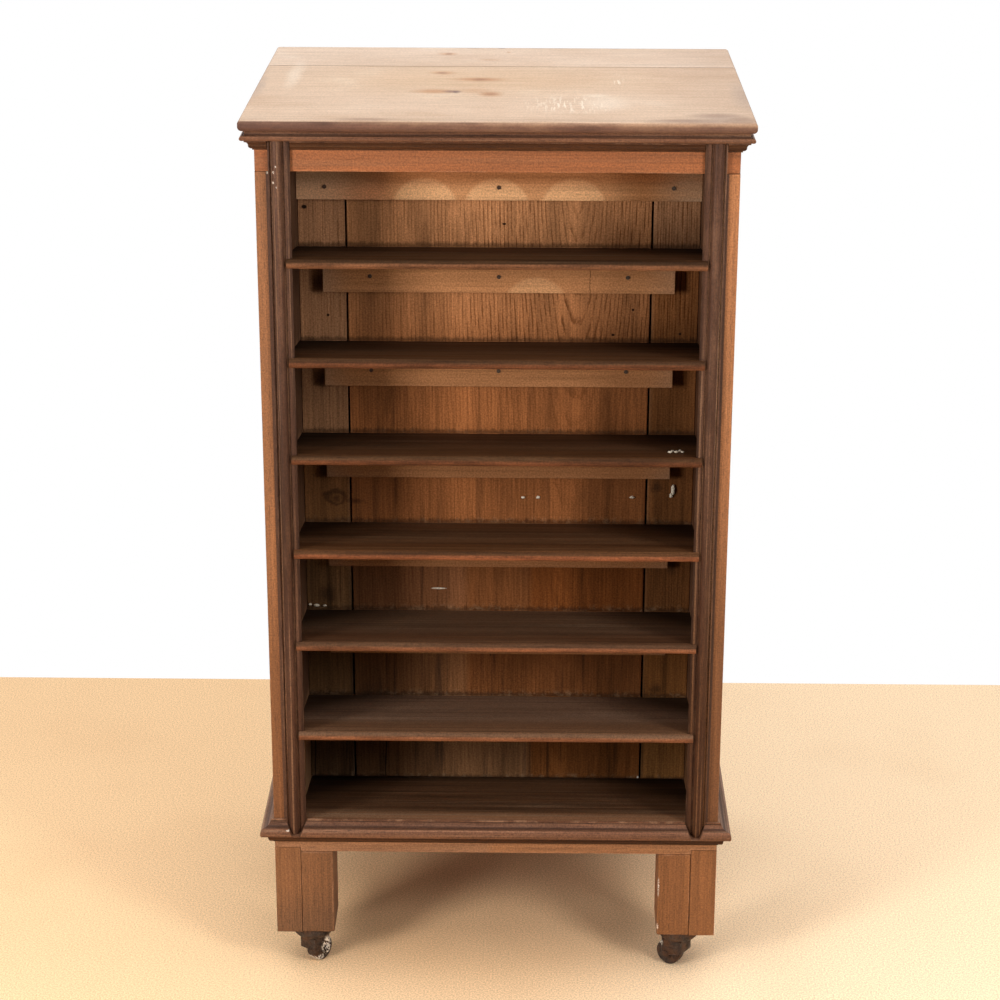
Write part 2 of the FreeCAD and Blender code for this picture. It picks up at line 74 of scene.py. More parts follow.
# Stage: a paper floor that ends behind the cabinet, in front of white
FLOOR_FRONT = -6.0
FLOOR_REAR = 0.51
FLOOR_HALF_WIDTH = 5.0
FLOOR_TONE = (0.95, 0.68, 0.41)
FLOOR_STAIN = (0.84, 0.57, 0.33)
# FLOOR_UNDER at FLOOR_SHADOW is a painted shadow under the cabinet; FLOOR_LEFT and FLOOR_RIGHT are painted
# light, warmer and darker on the left, paler on the right
FLOOR_UNDER = (0.84, 0.76, 0.68)
FLOOR_LEFT = (0.94, 0.89, 0.84)
FLOOR_RIGHT = (1.04, 1.09, 1.19)
FLOOR_FADE = 0.35
FLOOR_CLOUDS = (5.0, 5.0, 0.6)
FLOOR_CLOUD_LEVELS = (0.45, 0.75, 0.0, 0.35)
FLOOR_SHADOW = ((0.0, -30.0, 0.0), (270.0, 260.0, 50.0), 0.6)
FLOOR_ROUGHNESS = 0.85
FLOOR_SURFACE = (0.2 * MM, 0.1)
BACKGROUND_FILL = 0.08
FRONT_TARGET = Vector((0.0, -0.1, 0.45))
LAMPS = {
    "key_left": ((-1.00, -1.20, 0.80), FRONT_TARGET, (0.36, 0.48), 16.0),
    "key_right": ((0.95, -1.20, 1.03), FRONT_TARGET, (0.36, 0.48), 12.3),
    "overhead": ((0.0, -0.3, 6.0), Vector((0.0, -0.3, 0.0)), (8.0, 8.0), 440.0),
    "rear": ((0.0, 2.6, 1.5), Vector((0.0, 0.0, 0.40)), (2.0, 2.0), 8.0),
}

# Wear of the pieces
WELD = 1e-6
FLAT_ANGLE = math.radians(1.0)
SHARP_ANGLE = math.radians(35.0)
CRISP_ANGLE = math.radians(50.0)
SHORTEST_WORN_EDGE = 3 * MM
EDGE_SEGMENTS = 2
SUPPORT_MARGIN = 3 * MM
WAVE_FREQUENCY = 14.0
WAVE_DEPTH = 0.25 * MM
NICK_FREQUENCY = 90.0
NICK_LEVEL = 0.25
NICK_DEPTH = 0.7 * MM
WOOD_STEP = 6 * MM
WOOD_ROUNDING = 0.7 * MM
LEG_ROUNDING = 1.4 * MM
TOP_ROUNDING = 0.4 * MM
IRON_STEP = 3 * MM
IRON_ROUNDING = 0.5 * MM
LUMP_SWELL = 0.35
LUMP_FREQUENCY = 1.8

# Fine flecks over every finish: texture with its levels, and how far they darken and lighten
FLECKS = ((620.0, 2.0, 0.8), (0.30, 0.70))
FLECK_STOPS = [(0.0, (0.74, 0.74, 0.74)), (0.5, (1.0, 1.0, 1.0)), (1.0, (1.26, 1.26, 1.26))]

# Tones of the finishes, with the tones of painted shade, light and highlights among them
FRAME = (0.305, 0.125, 0.049)
FRAME_RAIL = (0.245, 0.082, 0.028)
FRAME_LOW_RAIL = (0.42, 0.195, 0.095)
FRAME_BLOTCH = (0.22, 0.092, 0.041)
FRAME_PORE = (0.09, 0.033, 0.015)
FRAME_INSIDE = (0.085, 0.038, 0.019)
FRAME_WORN = (0.38, 0.19, 0.10)
MOULDING = (0.125, 0.053, 0.027)
PILASTER = (0.070, 0.031, 0.018)
DARK_PATINA = (0.15, 0.075, 0.043)
DARK_PORE = (0.026, 0.011, 0.007)
DARK_WORN = (0.25, 0.138, 0.080)
UNDER_SHADE = (0.36, 0.28, 0.18)
GROOVE_SHADE = (0.48, 0.44, 0.42)
RUBBED_AND_HIGHLIGHT_LIFT = (1.35, 1.32, 1.28)
CHIP = (0.75, 0.66, 0.56)
WEATHERED = (0.25, 0.175, 0.12)
SHELF = (0.090, 0.041, 0.018)
SHELF_DUST = (0.205, 0.122, 0.070)
SHELF_PORE = (0.020, 0.008, 0.004)
NOSING = (0.150, 0.058, 0.027)
ROUND_SHADE = (0.92, 0.98, 1.05)
CORNER_SHADE = (0.20, 0.18, 0.16)
LIP = (0.175, 0.080, 0.038)
PINE = (0.48, 0.208, 0.085)
PINE_SIDE = (0.35, 0.170, 0.083)
PINE_LATE = (0.14, 0.048, 0.015)
PINE_GRIME = (0.15, 0.066, 0.027)
PINE_HUE = (0.88, 0.70, 0.55)
PINE_LOW_SHADE = (0.39, 0.39, 0.37)
PINE_LOWEST = (1.08, 1.20, 1.25)
PINE_DUST = (0.30, 0.18, 0.10)
CRACK = (0.020, 0.010, 0.006)
BATTEN = (0.47, 0.205, 0.082)
BATTEN_TOP = (0.38, 0.140, 0.050)
BATTEN_FADED = (1.27, 1.45, 1.60)
BATTEN_END = (0.40, 0.235, 0.140)
BATTEN_CORNER = (0.62, 0.395, 0.235)
BATTEN_PORE = (0.18, 0.075, 0.032)
TOP = (0.645, 0.460, 0.325)
TOP_BROWN = (0.53, 0.34, 0.215)
TOP_GREY = (0.46, 0.335, 0.255)
TOP_SOIL = (0.27, 0.155, 0.098)
TOP_PALE = (0.84, 0.70, 0.56)
TOP_WARM = (0.98, 0.93, 0.84)
TOP_PORE = (0.21, 0.085, 0.040)
KNOT = (0.72, 0.47, 0.28)
HEART = (0.30, 0.24, 0.28)
TOP_RIGHT = (0.88, 0.86, 0.85)
SLAB_EDGE = (0.148, 0.072, 0.046)
SLAB_FOOT = (0.70, 0.67, 0.68)
IRON = (0.040, 0.027, 0.021)
RUST = (0.085, 0.038, 0.019)
NAIL = (0.075, 0.050, 0.034)
IRON_RUBBED = (0.24, 0.20, 0.17)
SILK = (0.72, 0.62, 0.48)
THREAD = (0.86, 0.80, 0.70)

# Grain: order of the axes from along the grain, and how far apart the boards lie in the wood
GRAIN_ORDER = {"X": "XYZ", "Y": "YXZ", "Z": "ZXY"}
BOARD_SPREAD = (9.0, 5.0, 3.0)
STREAKS_ALONG = 9.0
STREAK_DETAIL = (5.0, 0.62)
BANDS_ALONG = 2.2
BAND_DETAIL = (3.0, 0.55, 0.4)
PORES = ((95.0, 1500.0, 2.0, 0.5), (0.60, 0.72))

# Shades of a tone, soft edges of lines, chips and washes, rubbed arrises and broken outlines
SHADE_STOPS = (0.36, 0.50, 0.64)
LINE_CORE = 0.4
CHIP_SOFT = 0.35
WASH_FADE = 5
WORN_LEVELS = (0.70, 1.0)
WORN_DETAIL = 3.0
RAGGED = ((900.0, 3.0), (0.42, 0.52))


class Shader:
    """Nodes of one material, with the place on the object and the grain of its wood."""

    def __init__(self, name, grain_axis=None):
        self.material = bpy.data.materials.new(name)
        self.material.use_nodes = True
        self.tree = self.material.node_tree
        self.surface = self.tree.nodes["Principled BSDF"]
        self.point = self.add("TexCoord").outputs["Object"]
        self.place = self.split(self.point)
        self.grain = self.grain_space(grain_axis) if grain_axis else self.point
        self.textures = {}

    def fill(self, node, inputs):
        """Links or plain values for the inputs of a node."""
        for key, value in inputs.items():
            if isinstance(value, bpy.types.NodeSocket):
                self.tree.links.new(value, node.inputs[key])
            else:
                node.inputs[key].default_value = value
        return node

    def add(self, kind, settings=(), **inputs):
        node = self.tree.nodes.new("ShaderNode" + kind)
        for key, value in dict(settings).items():
            setattr(node, key, value)
        return self.fill(node, inputs)

    def math(self, operation, *values):
        node = self.add("Math", {"operation": operation})
        return self.fill(node, dict(enumerate(values))).outputs[0]

    def product(self, *values):
        total = values[0]
        for value in values[1:]:
            total = self.math("MULTIPLY", total, value)
        return total

    def most(self, masks):
        total = masks[0]
        for mask in masks[1:]:
            total = self.math("MAXIMUM", total, mask)
        return total

    def vector(self, operation, *values):
        node = self.add("VectorMath", {"operation": operation})
        self.fill(node, dict(enumerate(values)))
        return node.outputs["Value" if operation == "LENGTH" else "Vector"]

    def combine(self, x, y, z):
        return self.add("CombineXYZ", X=x, Y=y, Z=z).outputs[0]

    def split(self, vector):
        return self.add("SeparateXYZ", Vector=vector).outputs

    def normal_up(self):
        return self.split(self.add("NewGeometry").outputs["Normal"])["Z"]

    def grain_space(self, axis):
        """Coordinates that begin along the grain. Each board has its own part of the wood."""
        ordered = self.combine(*[self.place[letter] for letter in GRAIN_ORDER[axis]])
        spread = self.vector("SCALE", BOARD_SPREAD)
        self.fill(spread.node, {"Scale": self.add("ObjectInfo").outputs["Random"]})
        return self.vector("ADD", ordered, spread)

    def noise(self, vector, scale, detail=4.0, rough=0.6, swirl=0.0):
        node = self.add("TexNoise", Vector=vector, Scale=scale, Detail=detail, Roughness=rough)
        return self.fill(node, {"Distortion": swirl}).outputs["Fac"]

    def texture(self, row):
        """Noise drawn out along the grain, made once for each row."""
        if row not in self.textures:
            along, across, *rest = row
            drawn_out = self.vector("MULTIPLY", self.grain, (along, across, across))
            self.textures[row] = self.noise(drawn_out, 1.0, *rest)
        return self.textures[row]

    def band(self, value, low, high, out_low=0.0, out_high=1.0):
        """Smooth step of a value from one level to another."""
        node = self.add("MapRange", {"interpolation_type": "SMOOTHSTEP"}, Value=value)
        levels = {"From Min": low, "From Max": high, "To Min": out_low, "To Max": out_high}
        return self.fill(node, levels).outputs["Result"]

    def patches(self, texture, levels):
        """Smooth step of a texture along the grain."""
        return self.band(self.texture(texture), *levels)

    def clouds(self, texture, levels):
        """Smooth step of a texture that has no direction."""
        return self.band(self.noise(self.point, *texture), *levels)

    def fade(self, spans):
        """One within all spans. A span is an axis, and its start and full end in millimetres."""
        masks = []
        for axis, start, full in spans:
            value = self.math("ABSOLUTE", self.place["X"]) if axis == "side" else self.place[axis]
            masks.append(self.band(value, start * MM, full * MM))
        return self.product(*masks)

    def line(self, value, place, half):
        """One along a line where a value meets a place, falling to nothing on both sides."""
        apart = self.math("ABSOLUTE", self.math("SUBTRACT", value, place * MM))
        return self.band(apart, half * MM, half * MM * LINE_CORE)

    def spot(self, point, centre, reach, soft=CHIP_SOFT):
        """One inside an ellipsoid, falling to nothing at its rim."""
        offset = self.vector("SUBTRACT", point, tuple(part * MM for part in centre))
        scaled = self.vector("MULTIPLY", offset, tuple(1.0 / (size * MM) for size in reach))
        return self.band(self.vector("LENGTH", scaled), 1.0, 1.0 - soft)

    def mix(self, share, first, second, blend="MIX"):
        node = self.add("Mix", {"data_type": "RGBA", "blend_type": blend, "clamp_factor": True})
        return self.fill(node, {0: share, 6: opaque(first), 7: opaque(second)}).outputs[2]

    def lay(self, colour, tone, *masks):
        """A tone laid over the colour where all masks are one."""
        return self.mix(self.product(*masks), colour, tone)

    def tint(self, share, colour, tone):
        """The colour multiplied by a tone."""
        return self.mix(share, colour, tone, "MULTIPLY")

    def tinted(self, colour, rows):
        """The colour multiplied by tones, each of them within its own spans."""
        for spans, tone in rows:
            colour = self.tint(self.fade(spans), colour, tone)
        return colour

    def washed(self, colour, rows):
        """The colour multiplied by tones within rectangles: left, right, foot and head in millimetres."""
        for left, right, foot, head, tone in rows:
            spans = []
            for axis, low, high in (("X", left, right), ("Z", foot, head)):
                spans.append((axis, low - WASH_FADE, low + WASH_FADE))
                spans.append((axis, high + WASH_FADE, high - WASH_FADE))
            colour = self.tint(self.fade(spans), colour, tone)
        return colour

    def stained(self, colour, rows):
        """Tones mixed in, up to a share, where a texture passes from one level to another."""
        for texture, levels, share, tone in rows:
            colour = self.mix(self.patches(texture, levels + (0.0, share)), colour, tone)
        return colour

    def ramp(self, value, stops):
        node = self.add("ValToRGB", Fac=value)
        elements = node.color_ramp.elements
        while len(elements) < len(stops):
            elements.new(0.5)
        for element, (place, colour) in zip(elements, stops):
            element.position = place
            element.color = opaque(colour)
        return node.outputs["Color"]

    def shades(self, value, tone, spread):
        """A tone that grows from darker to lighter with a value."""
        dark = tuple(part * (1.0 - spread) for part in tone)
        light = tuple(part * (1.0 + spread) for part in tone)
        return self.ramp(value, list(zip(SHADE_STOPS, (dark, tone, light))))

    def rubbed(self, colour, wear):
        """Rubbed arrises, broken up along their length."""
        frequency, levels, share, tone = wear
        edge = self.band(self.add("Attribute", {"attribute_name": "wear"}).outputs["Fac"], *WORN_LEVELS)
        broken = self.band(self.noise(self.grain, frequency, WORN_DETAIL), *levels)
        return self.lay(colour, tone, edge, broken, share)

    def chipped(self, colour, rows, share):
        """Bare wood in chips and splinters with a broken outline."""
        chips = self.most([self.spot(self.point, centre, reach) for centre, reach in rows])
        return self.lay(colour, CHIP, chips, self.clouds(*RAGGED), share)

    def finish(self, colour, roughness, height, relief, gloss, flecked=1.0):
        """Flecked colour, roughness and bump of the surface, with the relief in metres."""
        colour = self.tint(flecked, colour, self.ramp(self.clouds(*FLECKS), FLECK_STOPS))
        bump = self.add("Bump", Height=height, Strength=1.0, Distance=relief).outputs["Normal"]
        inputs = {"Base Color": colour, "Roughness": roughness, "Normal": bump, "Specular IOR Level": gloss}
        self.fill(self.surface, inputs)
        return self.material


def opaque(value):
    """A colour of three numbers gets a full fourth one; anything else stays."""
    if isinstance(value, tuple) and len(value) == 3:
        return value + (1.0,)
    return value


def plain_grain(look, fine, broad):
    """Streaks, bands and pores of the hardwoods, with the counts of streaks and bands across the grain."""
    streaks = look.texture((STREAKS_ALONG, fine) + STREAK_DETAIL)
    bands = look.texture((BANDS_ALONG, broad) + BAND_DETAIL)
    pores = look.patches(*PORES)
    tone = look.math("ADD", look.product(streaks, 0.5), look.product(bands, 0.5))
    return tone, streaks, pores


# How the rows below are read. A texture is the count to the metre along and across the grain, detail,
# roughness and swirl. A stain is a texture, its levels, a share and a tone. A tint is a list of spans and a
# tone. A wear row is a frequency, levels, a share and a tone. A rough row is two levels and the roughness
# there. A surface is the relief and the gloss.

# Spans that several finishes share, where painted shade and light are laid
LOWER_PART = ("Z", 620, 240)
LEFT_HALF = ("X", 0, -10)
LEFT_AND_HIGH = [("X", -150, -160), ("Z", 400, 560)]

# Frame wood
FRAME_GRAIN = (620.0, 46.0)
FRAME_SPREAD = 0.32
FRAME_STAINS = [
    ((3.0, 260.0, 3.0, 0.6), (0.50, 0.68), 0.45, FRAME_BLOTCH),
    ((3.0, 30.0, 3.0, 0.6), (0.45, 0.72), 0.25, FRAME_BLOTCH),
]
FRAME_PORE_SHARE = 0.55
LEGS = ("Z", 146, 126)
# Painted shade and light on the frame: darker lower down, lifted again on the legs, toned apart on the left
# leg, and darker at the left foot
FRAME_TINTS = [
    ([LOWER_PART], (0.54, 0.51, 0.48)),
    ([LEGS], (1.28, 1.28, 1.18)),
    ([LEGS, LEFT_HALF], (0.89, 0.98, 1.15)),
    ([LEFT_HALF, ("Z", 100, 45)], (0.74, 0.80, 0.92)),
]
FRAME_WEAR = (60.0, (0.42, 0.62), 0.35, FRAME_WORN)
FRAME_ROUGH = (0.3, 0.7, 0.62, 0.48)
FRAME_SURFACE = (0.12 * MM, 0.25)

# Faces of the posts and side panels inside the cabinet
INSIDE_FACES = [("side", 180.5, 180), ("Z", 135, 140)]
INSIDE_SPREAD = 0.35
INSIDE_SHARE = 0.85
# Washes of painted light and shade on single patches of the inside faces
INSIDE_WASHES = [
    (-185, -170, 130, 235, (3.0, 3.5, 3.3)),
    (170, 185, 400, 640, (0.72, 0.58, 0.50)),
    (170, 185, 130, 235, (1.35, 1.3, 1.0)),
]

# Dark stain of the pilasters that is carried onto the posts
LAP = [("side", 194.2, 193.2), ("Z", 150, 156), ("Y", -160, -161)]
LAP_SPREAD = 0.42
# Painted shade on the upper left of the posts
POST_TINTS = [(LEFT_AND_HIGH, (0.69, 0.69, 0.70))]

# Pale splinters on the inner arris of the right leg: centre and reach in millimetres
SPLINTER_SHARE = 0.8
SPLINTERS = [
    ((150.2, -161.5, 92.0), (1.1, 6.0, 11.0)),
    ((150.2, -161.5, 51.0), (1.1, 6.0, 3.5)),
]

# Bare chips on the dark finish: centre and reach in millimetres
CHIP_SHARE = 0.9
CHIPS = [
    ((-193.5, -168.0, 790.4), (1.6, 3.0, 0.9)),
    ((-189.5, -168.0, 790.2), (1.8, 3.0, 0.8)),
    ((-192.9, -163.0, 765.0), (1.1, 5.0, 1.6)),
    ((-192.5, -163.0, 760.5), (1.0, 5.0, 1.5)),
    ((-184.7, -166.0, 767.0), (1.0, 5.0, 1.4)),
    ((-186.6, -166.0, 762.0), (1.1, 5.0, 1.6)),
    ((-187.0, -166.0, 753.4), (1.1, 5.0, 1.5)),
    ((-184.1, -166.0, 749.8), (0.9, 5.0, 1.3)),
    ((-189.3, -172.0, 152.5), (2.6, 4.0, 1.0)),
    ((-180.9, -164.0, 704.9), (0.9, 4.0, 1.4)),
]


def frame_wood(name, axis, base=FRAME, lined=False):
    """Faded red-brown stain, duller and darker on the faces inside the cabinet, with painted shade and light
    by height and on the left.
    """
    look = Shader(name, axis)
    tone, streaks, pores = plain_grain(look, *FRAME_GRAIN)
    colour = look.shades(tone, base, FRAME_SPREAD)
    colour = look.stained(colour, FRAME_STAINS)
    colour = look.lay(colour, FRAME_PORE, pores, FRAME_PORE_SHARE)
    colour = look.tinted(colour, FRAME_TINTS)
    if lined:
        inside = look.shades(tone, FRAME_INSIDE, INSIDE_SPREAD)
        inside = look.washed(inside, INSIDE_WASHES)
        colour = look.lay(colour, inside, look.fade(INSIDE_FACES), INSIDE_SHARE)
        colour = look.tinted(colour, POST_TINTS)
        colour = look.mix(look.fade(LAP), colour, look.shades(tone, PILASTER, LAP_SPREAD))
    colour = look.rubbed(colour, FRAME_WEAR)
    colour = look.chipped(colour, SPLINTERS + CHIPS if lined else SPLINTERS, SPLINTER_SHARE)
    height = look.math("SUBTRACT", streaks, pores)
    return look.finish(colour, look.band(streaks, *FRAME_ROUGH), height, *FRAME_SURFACE)


# Dark wood of the mouldings and pilasters
DARK_GRAIN = (480.0, 70.0)
DARK_SPREAD = 0.34
PATINA = ((12.0, 60.0, 5.0, 0.65), (0.46, 0.70), 0.55, DARK_PATINA)
RUBBED_STREAKS = (3.0, 560.0, 3.0, 0.5)
RUBBED_LEVELS = (0.53, 0.66)
PILASTER_STAINS = [PATINA, (RUBBED_STREAKS, RUBBED_LEVELS, 0.75, DARK_WORN)]
MOULDING_STAINS = [PATINA, (RUBBED_STREAKS, RUBBED_LEVELS, 0.50, DARK_WORN)]
DARK_PORE_SHARE = 0.6
WEATHERED_SPREAD = 0.55
SIDE_WEATHERING = 0.22
PILASTER_WEAR = (75.0, (0.46, 0.64), 0.12, DARK_WORN)
MOULDING_WEAR = (75.0, (0.46, 0.64), 0.60, DARK_WORN)
DARK_ROUGH = (0.3, 0.7, 0.60, 0.46)
DARK_SURFACE = (0.16 * MM, 0.15)

# Pilaster, painted light and shade: shade on the inner flat, light in the quirk outside the bead, shade on
# the upper left and lower down, and light low on the left
PILASTER_TINTS = [
    ([("side", 177, 173)], (0.45, 0.40, 0.35)),
    ([("side", 187.7, 188.3), ("side", 189.9, 189.5)], (2.4, 2.8, 3.2)),
    (LEFT_AND_HIGH, (0.82, 0.80, 0.80)),
    ([LOWER_PART], (0.58, 0.46, 0.33)),
    ([LEFT_HALF, ("Z", 420, 300)], (1.36, 1.52, 1.88)),
]

# Mouldings: painted shade on the undersides of the cornice and the base
MOULDING_TINTS = [
    ([("Z", 788, 787), ("Z", 700, 720)], UNDER_SHADE),
    ([("Z", 146, 145)], UNDER_SHADE),
]

# Painted shade in the grooves, and lines both rubbed and painted as highlights, between the members of the
# mouldings: height and half width in millimetres
GROOVES = [(154.5, 0.9), (158.4, 0.6), (794.2, 0.8), (788.3, 0.7)]
RUBBED_AND_HIGHLIGHT_LINES = [(153.0, 0.8), (159.5, 0.6), (792.6, 0.8)]


def dark_wood(name, axis, base, weathered=0.0):
    """Dark stain rubbed along the grain, chipped to bare wood in places, with painted shade under and between
    the members of the mouldings, highlights both rubbed and painted on their lines, and painted light and
    shade on the pilasters.
    """
    look = Shader(name, axis)
    upright = axis == "Z"
    tone, streaks, pores = plain_grain(look, *DARK_GRAIN)
    colour = look.shades(tone, base, DARK_SPREAD)
    colour = look.stained(colour, PILASTER_STAINS if upright else MOULDING_STAINS)
    colour = look.lay(colour, DARK_PORE, pores, DARK_PORE_SHARE)
    if weathered:
        colour = look.mix(weathered, colour, look.shades(streaks, WEATHERED, WEATHERED_SPREAD))
    if upright:
        colour = look.tinted(colour, PILASTER_TINTS)
        colour = look.rubbed(colour, PILASTER_WEAR)
    else:
        colour = look.rubbed(colour, MOULDING_WEAR)
        colour = look.tinted(colour, MOULDING_TINTS)
        for rows, shade in ((GROOVES, GROOVE_SHADE), (RUBBED_AND_HIGHLIGHT_LINES, RUBBED_AND_HIGHLIGHT_LIFT)):
            lines = [look.line(look.place["Z"], level, half) for level, half in rows]
            colour = look.tint(look.most(lines), colour, shade)
    colour = look.chipped(colour, CHIPS, CHIP_SHARE)
    height = look.math("SUBTRACT", streaks, pores)
    return look.finish(colour, look.band(streaks, *DARK_ROUGH), height, *DARK_SURFACE)


# Shelves
SHELF_GRAIN = (420.0, 60.0)
SHELF_SPREAD = 0.45
DUST = (4.0, 55.0, 5.0, 0.65)
DUST_LEVELS = (0.48, 0.78, 0.0, 0.6)
LOW_SHELVES = [("Z", 430, 240), ("Z", 166, 190)]
LOW_DUST_SHARE = 0.60
WIPED = (2.5, 330.0, 4.0, 0.6)
WIPED_STAINS = [
    (WIPED, (0.52, 0.68), 0.50, SHELF_DUST),
    (WIPED, (0.46, 0.32), 0.55, SHELF_PORE),
]
# Painted shade on the rear of the higher shelves and on the front strip of all shelves above the bottom one
SHELF_TINTS = [
    ([("Y", -125, -70), ("Z", 330, 480)], (0.62, 0.58, 0.54)),
    ([("Y", -112, -142), ("Z", 186, 206)], (0.66, 0.56, 0.46)),
]
SHELF_PORE_SHARE = 0.5
SHELF_WEAR = (60.0, (0.45, 0.65), 0.3, FRAME_BLOTCH)
SHELF_ROUGH = (0.4, 0.7, 0.56, 0.74)
SHELF_SURFACE = (0.12 * MM, 0.08)

# Painted shadow in the rear corners of the shelves: distance from the middle and depth added up, where the
# shadow starts and is full
CORNER_START = 44 * MM
CORNER_FULL = 110 * MM

# Tones of single shelves, partly painted light and shade, between the heights of their rear and front
SHELF_WASHES = [
    (-200, 200, 488, 514, (1.15, 1.17, 1.20)),
    (-200, 200, 399, 427, (1.32, 1.25, 1.15)),
    (-200, 200, 225, 252, (1.20, 1.18, 1.28)),
    (-200, 200, 681, 696, (0.84, 0.84, 0.76)),
    (-200, 200, 505, 520, (0.80, 0.75, 0.67)),
    (-200, 200, 329, 344, (0.88, 0.82, 0.83)),
]

# Nosing: where it starts and is full behind the front line, painted shade on its upward round, and the tones
# of single shelves, partly painted light and shade
NOSE_DEPTH = 9 * MM
NOSE_START = 3 * MM
NOSE_FULL = -2 * MM
ROUND_LEVELS = (0.98, 0.90)
NOSING_SPREAD = 0.38
NOSING_TINTS = [
    ([("Z", 645, 650), ("Z", 705, 700)], (1.05, 1.15, 1.17)),
    ([("Z", 555, 560), ("Z", 645, 640)], (0.75, 0.70, 0.66)),
    ([("Z", 465, 470), ("Z", 555, 550)], (0.58, 0.54, 0.50)),
    ([("Z", 385, 390), ("Z", 465, 460)], (1.25, 1.12, 1.05)),
]
UNEVEN = (18.0, 90.0, 4.0, 0.6)
UNEVEN_SPREAD = 0.35
WAVER_SHARE = 0.5
HANDLED_LEVELS = (0.72, 0.28)

# Rubbed front of the bottom shelf
LIP_START = 26 * MM
LIP_FULL = 10 * MM
LIP_HEIGHT = [("Z", 166, 163)]
LIP_SPREAD = 0.38
LIP_LEVELS = (0.45, 0.62)


def shelf_wood(name, front_y):
    """Dark dusty board with a redder, handled nosing; painted shadow in the rear corners, and painted shade
    and light on single shelves and noses.
    """
    look = Shader(name, "X")
    place = look.place
    tone, streaks, pores = plain_grain(look, *SHELF_GRAIN)
    board = look.shades(tone, SHELF, SHELF_SPREAD)
    dust = look.texture(DUST)
    loose = look.band(dust, *DUST_LEVELS)
    coat = look.math("MULTIPLY_ADD", look.fade(LOW_SHELVES), LOW_DUST_SHARE, loose)
    board = look.mix(coat, board, SHELF_DUST)
    board = look.stained(board, WIPED_STAINS)
    corner = look.math("ADD", look.math("ABSOLUTE", place["X"]), place["Y"])
    board = look.tint(look.band(corner, CORNER_START, CORNER_FULL), board, CORNER_SHADE)
    board = look.tinted(board, SHELF_TINTS)
    board = look.washed(board, SHELF_WASHES)
    facing_up = look.normal_up()
    near_front = look.band(place["Y"], front_y + NOSE_START, front_y + NOSE_FULL)
    dark_round = look.product(near_front, look.band(facing_up, *ROUND_LEVELS))
    board = look.tint(dark_round, board, ROUND_SHADE)
    nosing = look.shades(tone, NOSING, NOSING_SPREAD)
    nosing = look.tinted(nosing, NOSING_TINTS)
    uneven = look.texture(UNEVEN)
    nosing = look.tint(1.0, nosing, look.shades(uneven, (1.0, 1.0, 1.0), UNEVEN_SPREAD))
    waver = look.math("MULTIPLY_ADD", uneven, WAVER_SHARE, facing_up)
    handled = look.product(near_front, look.band(waver, *HANDLED_LEVELS))
    colour = look.mix(handled, board, nosing)
    at_front = look.band(place["Y"], front_y + LIP_START, front_y + LIP_FULL)
    lip = look.product(at_front, look.fade(LIP_HEIGHT))
    rubbed = look.lay(look.shades(tone, LIP, LIP_SPREAD), SHELF_DUST, look.patches(WIPED, LIP_LEVELS))
    colour = look.mix(lip, colour, rubbed)
    colour = look.lay(colour, SHELF_PORE, pores, SHELF_PORE_SHARE)
    colour = look.rubbed(colour, SHELF_WEAR)
    height = look.math("SUBTRACT", streaks, pores)
    return look.finish(colour, look.band(dust, *SHELF_ROUGH), height, *SHELF_SURFACE)


# Growth rings of the pine: where the arches close, how fast they climb and how close the rings stand
HEART_X = 70 * MM
HEART_TOP = 790 * MM
RING_CLIMB = 0.13
RINGS_PER_METRE = 300.0
SIDE_RINGS_PER_METRE = 360.0
SIDE_BOARDS = [("side", 136, 138)]

# Textures that bend and break the rings, with the number of rings that they shift
WANDER = (2.2, 13.0, 3.0, 0.5)
WANDER_RINGS = 2.2
TREMBLE = (20.0, 120.0, 3.0, 0.6)
TREMBLE_RINGS = 0.9
CROWDED = (0.8, 40.0, 2.0, 0.5)
CROWDED_RINGS = 6.0
DASHES = (45.0, 240.0, 3.0, 0.6)
DASH_LEVELS = (0.38, 0.56, 0.15, 1.0)
RING_RISE = (0.52, 0.88)
RING_DROP = (1.0, 0.93)

# Pine boards: streaks and bands with their shares, and how strongly the late wood shows
PINE_STREAKS = (14.0, 620.0, 5.0, 0.68)
PINE_STREAK_SHARE = 0.62
PINE_BANDS = (1.6, 34.0, 3.0, 0.55)
PINE_BAND_SHARE = 0.38
PINE_SPREAD = 0.36
SIDE_SHARE = 0.8
LATE_LEVELS = (0.36, 0.60, 0.10, 0.50)
LATE_HEIGHTS = (440 * MM, 560 * MM, 0.45, 1.0)
LATE_RELIEF = 0.5
FRESH = [("Z", 470, 600), ("X", -95, -40)]
FRESH_LEVELS = (0.30, 0.55, 0.55, 1.0)
FRESH_SHARE = 0.95
PINE_STAINS = [((4.0, 22.0, 4.0, 0.65), (0.46, 0.74), 0.65, PINE_GRIME)]
PINE_ROUGH = (0.3, 0.7, 0.80, 0.66)
PINE_SURFACE = (0.12 * MM, 0.03)

# Painted shade on the partition: it grows darker and more saturated downwards and darker to the left, with
# washes of painted light and shade on single patches, and dark streaks
PINE_LOW = [("Z", 700, 220)]
PINE_HUE_HEIGHT = [("Z", 700, 500)]
DARK_STREAKS = ((5.0, 130.0, 3.0, 0.6), (0.54, 0.68))
DARK_STREAK_SHARE = 0.55
PINE_TINTS = [([("Z", 450, 300), ("X", 40, -150)], (0.52, 0.52, 0.52))]
PINE_WASHES = [
    (137, 200, 312, 655, (0.63, 0.50, 0.34)),
    (137, 200, 120, 312, (1.22, 1.00, 0.64)),
    (-200, -137, 402, 490, (0.88, 0.78, 0.60)),
    (-200, -137, 228, 402, (1.75, 1.80, 1.60)),
    (-137, -30, 315, 402, (1.15, 1.28, 1.60)),
    (-137, -30, 228, 315, (1.33, 1.60, 2.00)),
    (30, 137, 315, 402, (0.90, 0.78, 0.60)),
    (30, 137, 120, 228, (0.83, 0.75, 0.62)),
    (-137, 30, 120, 228, (1.10, 1.35, 1.80)),
]

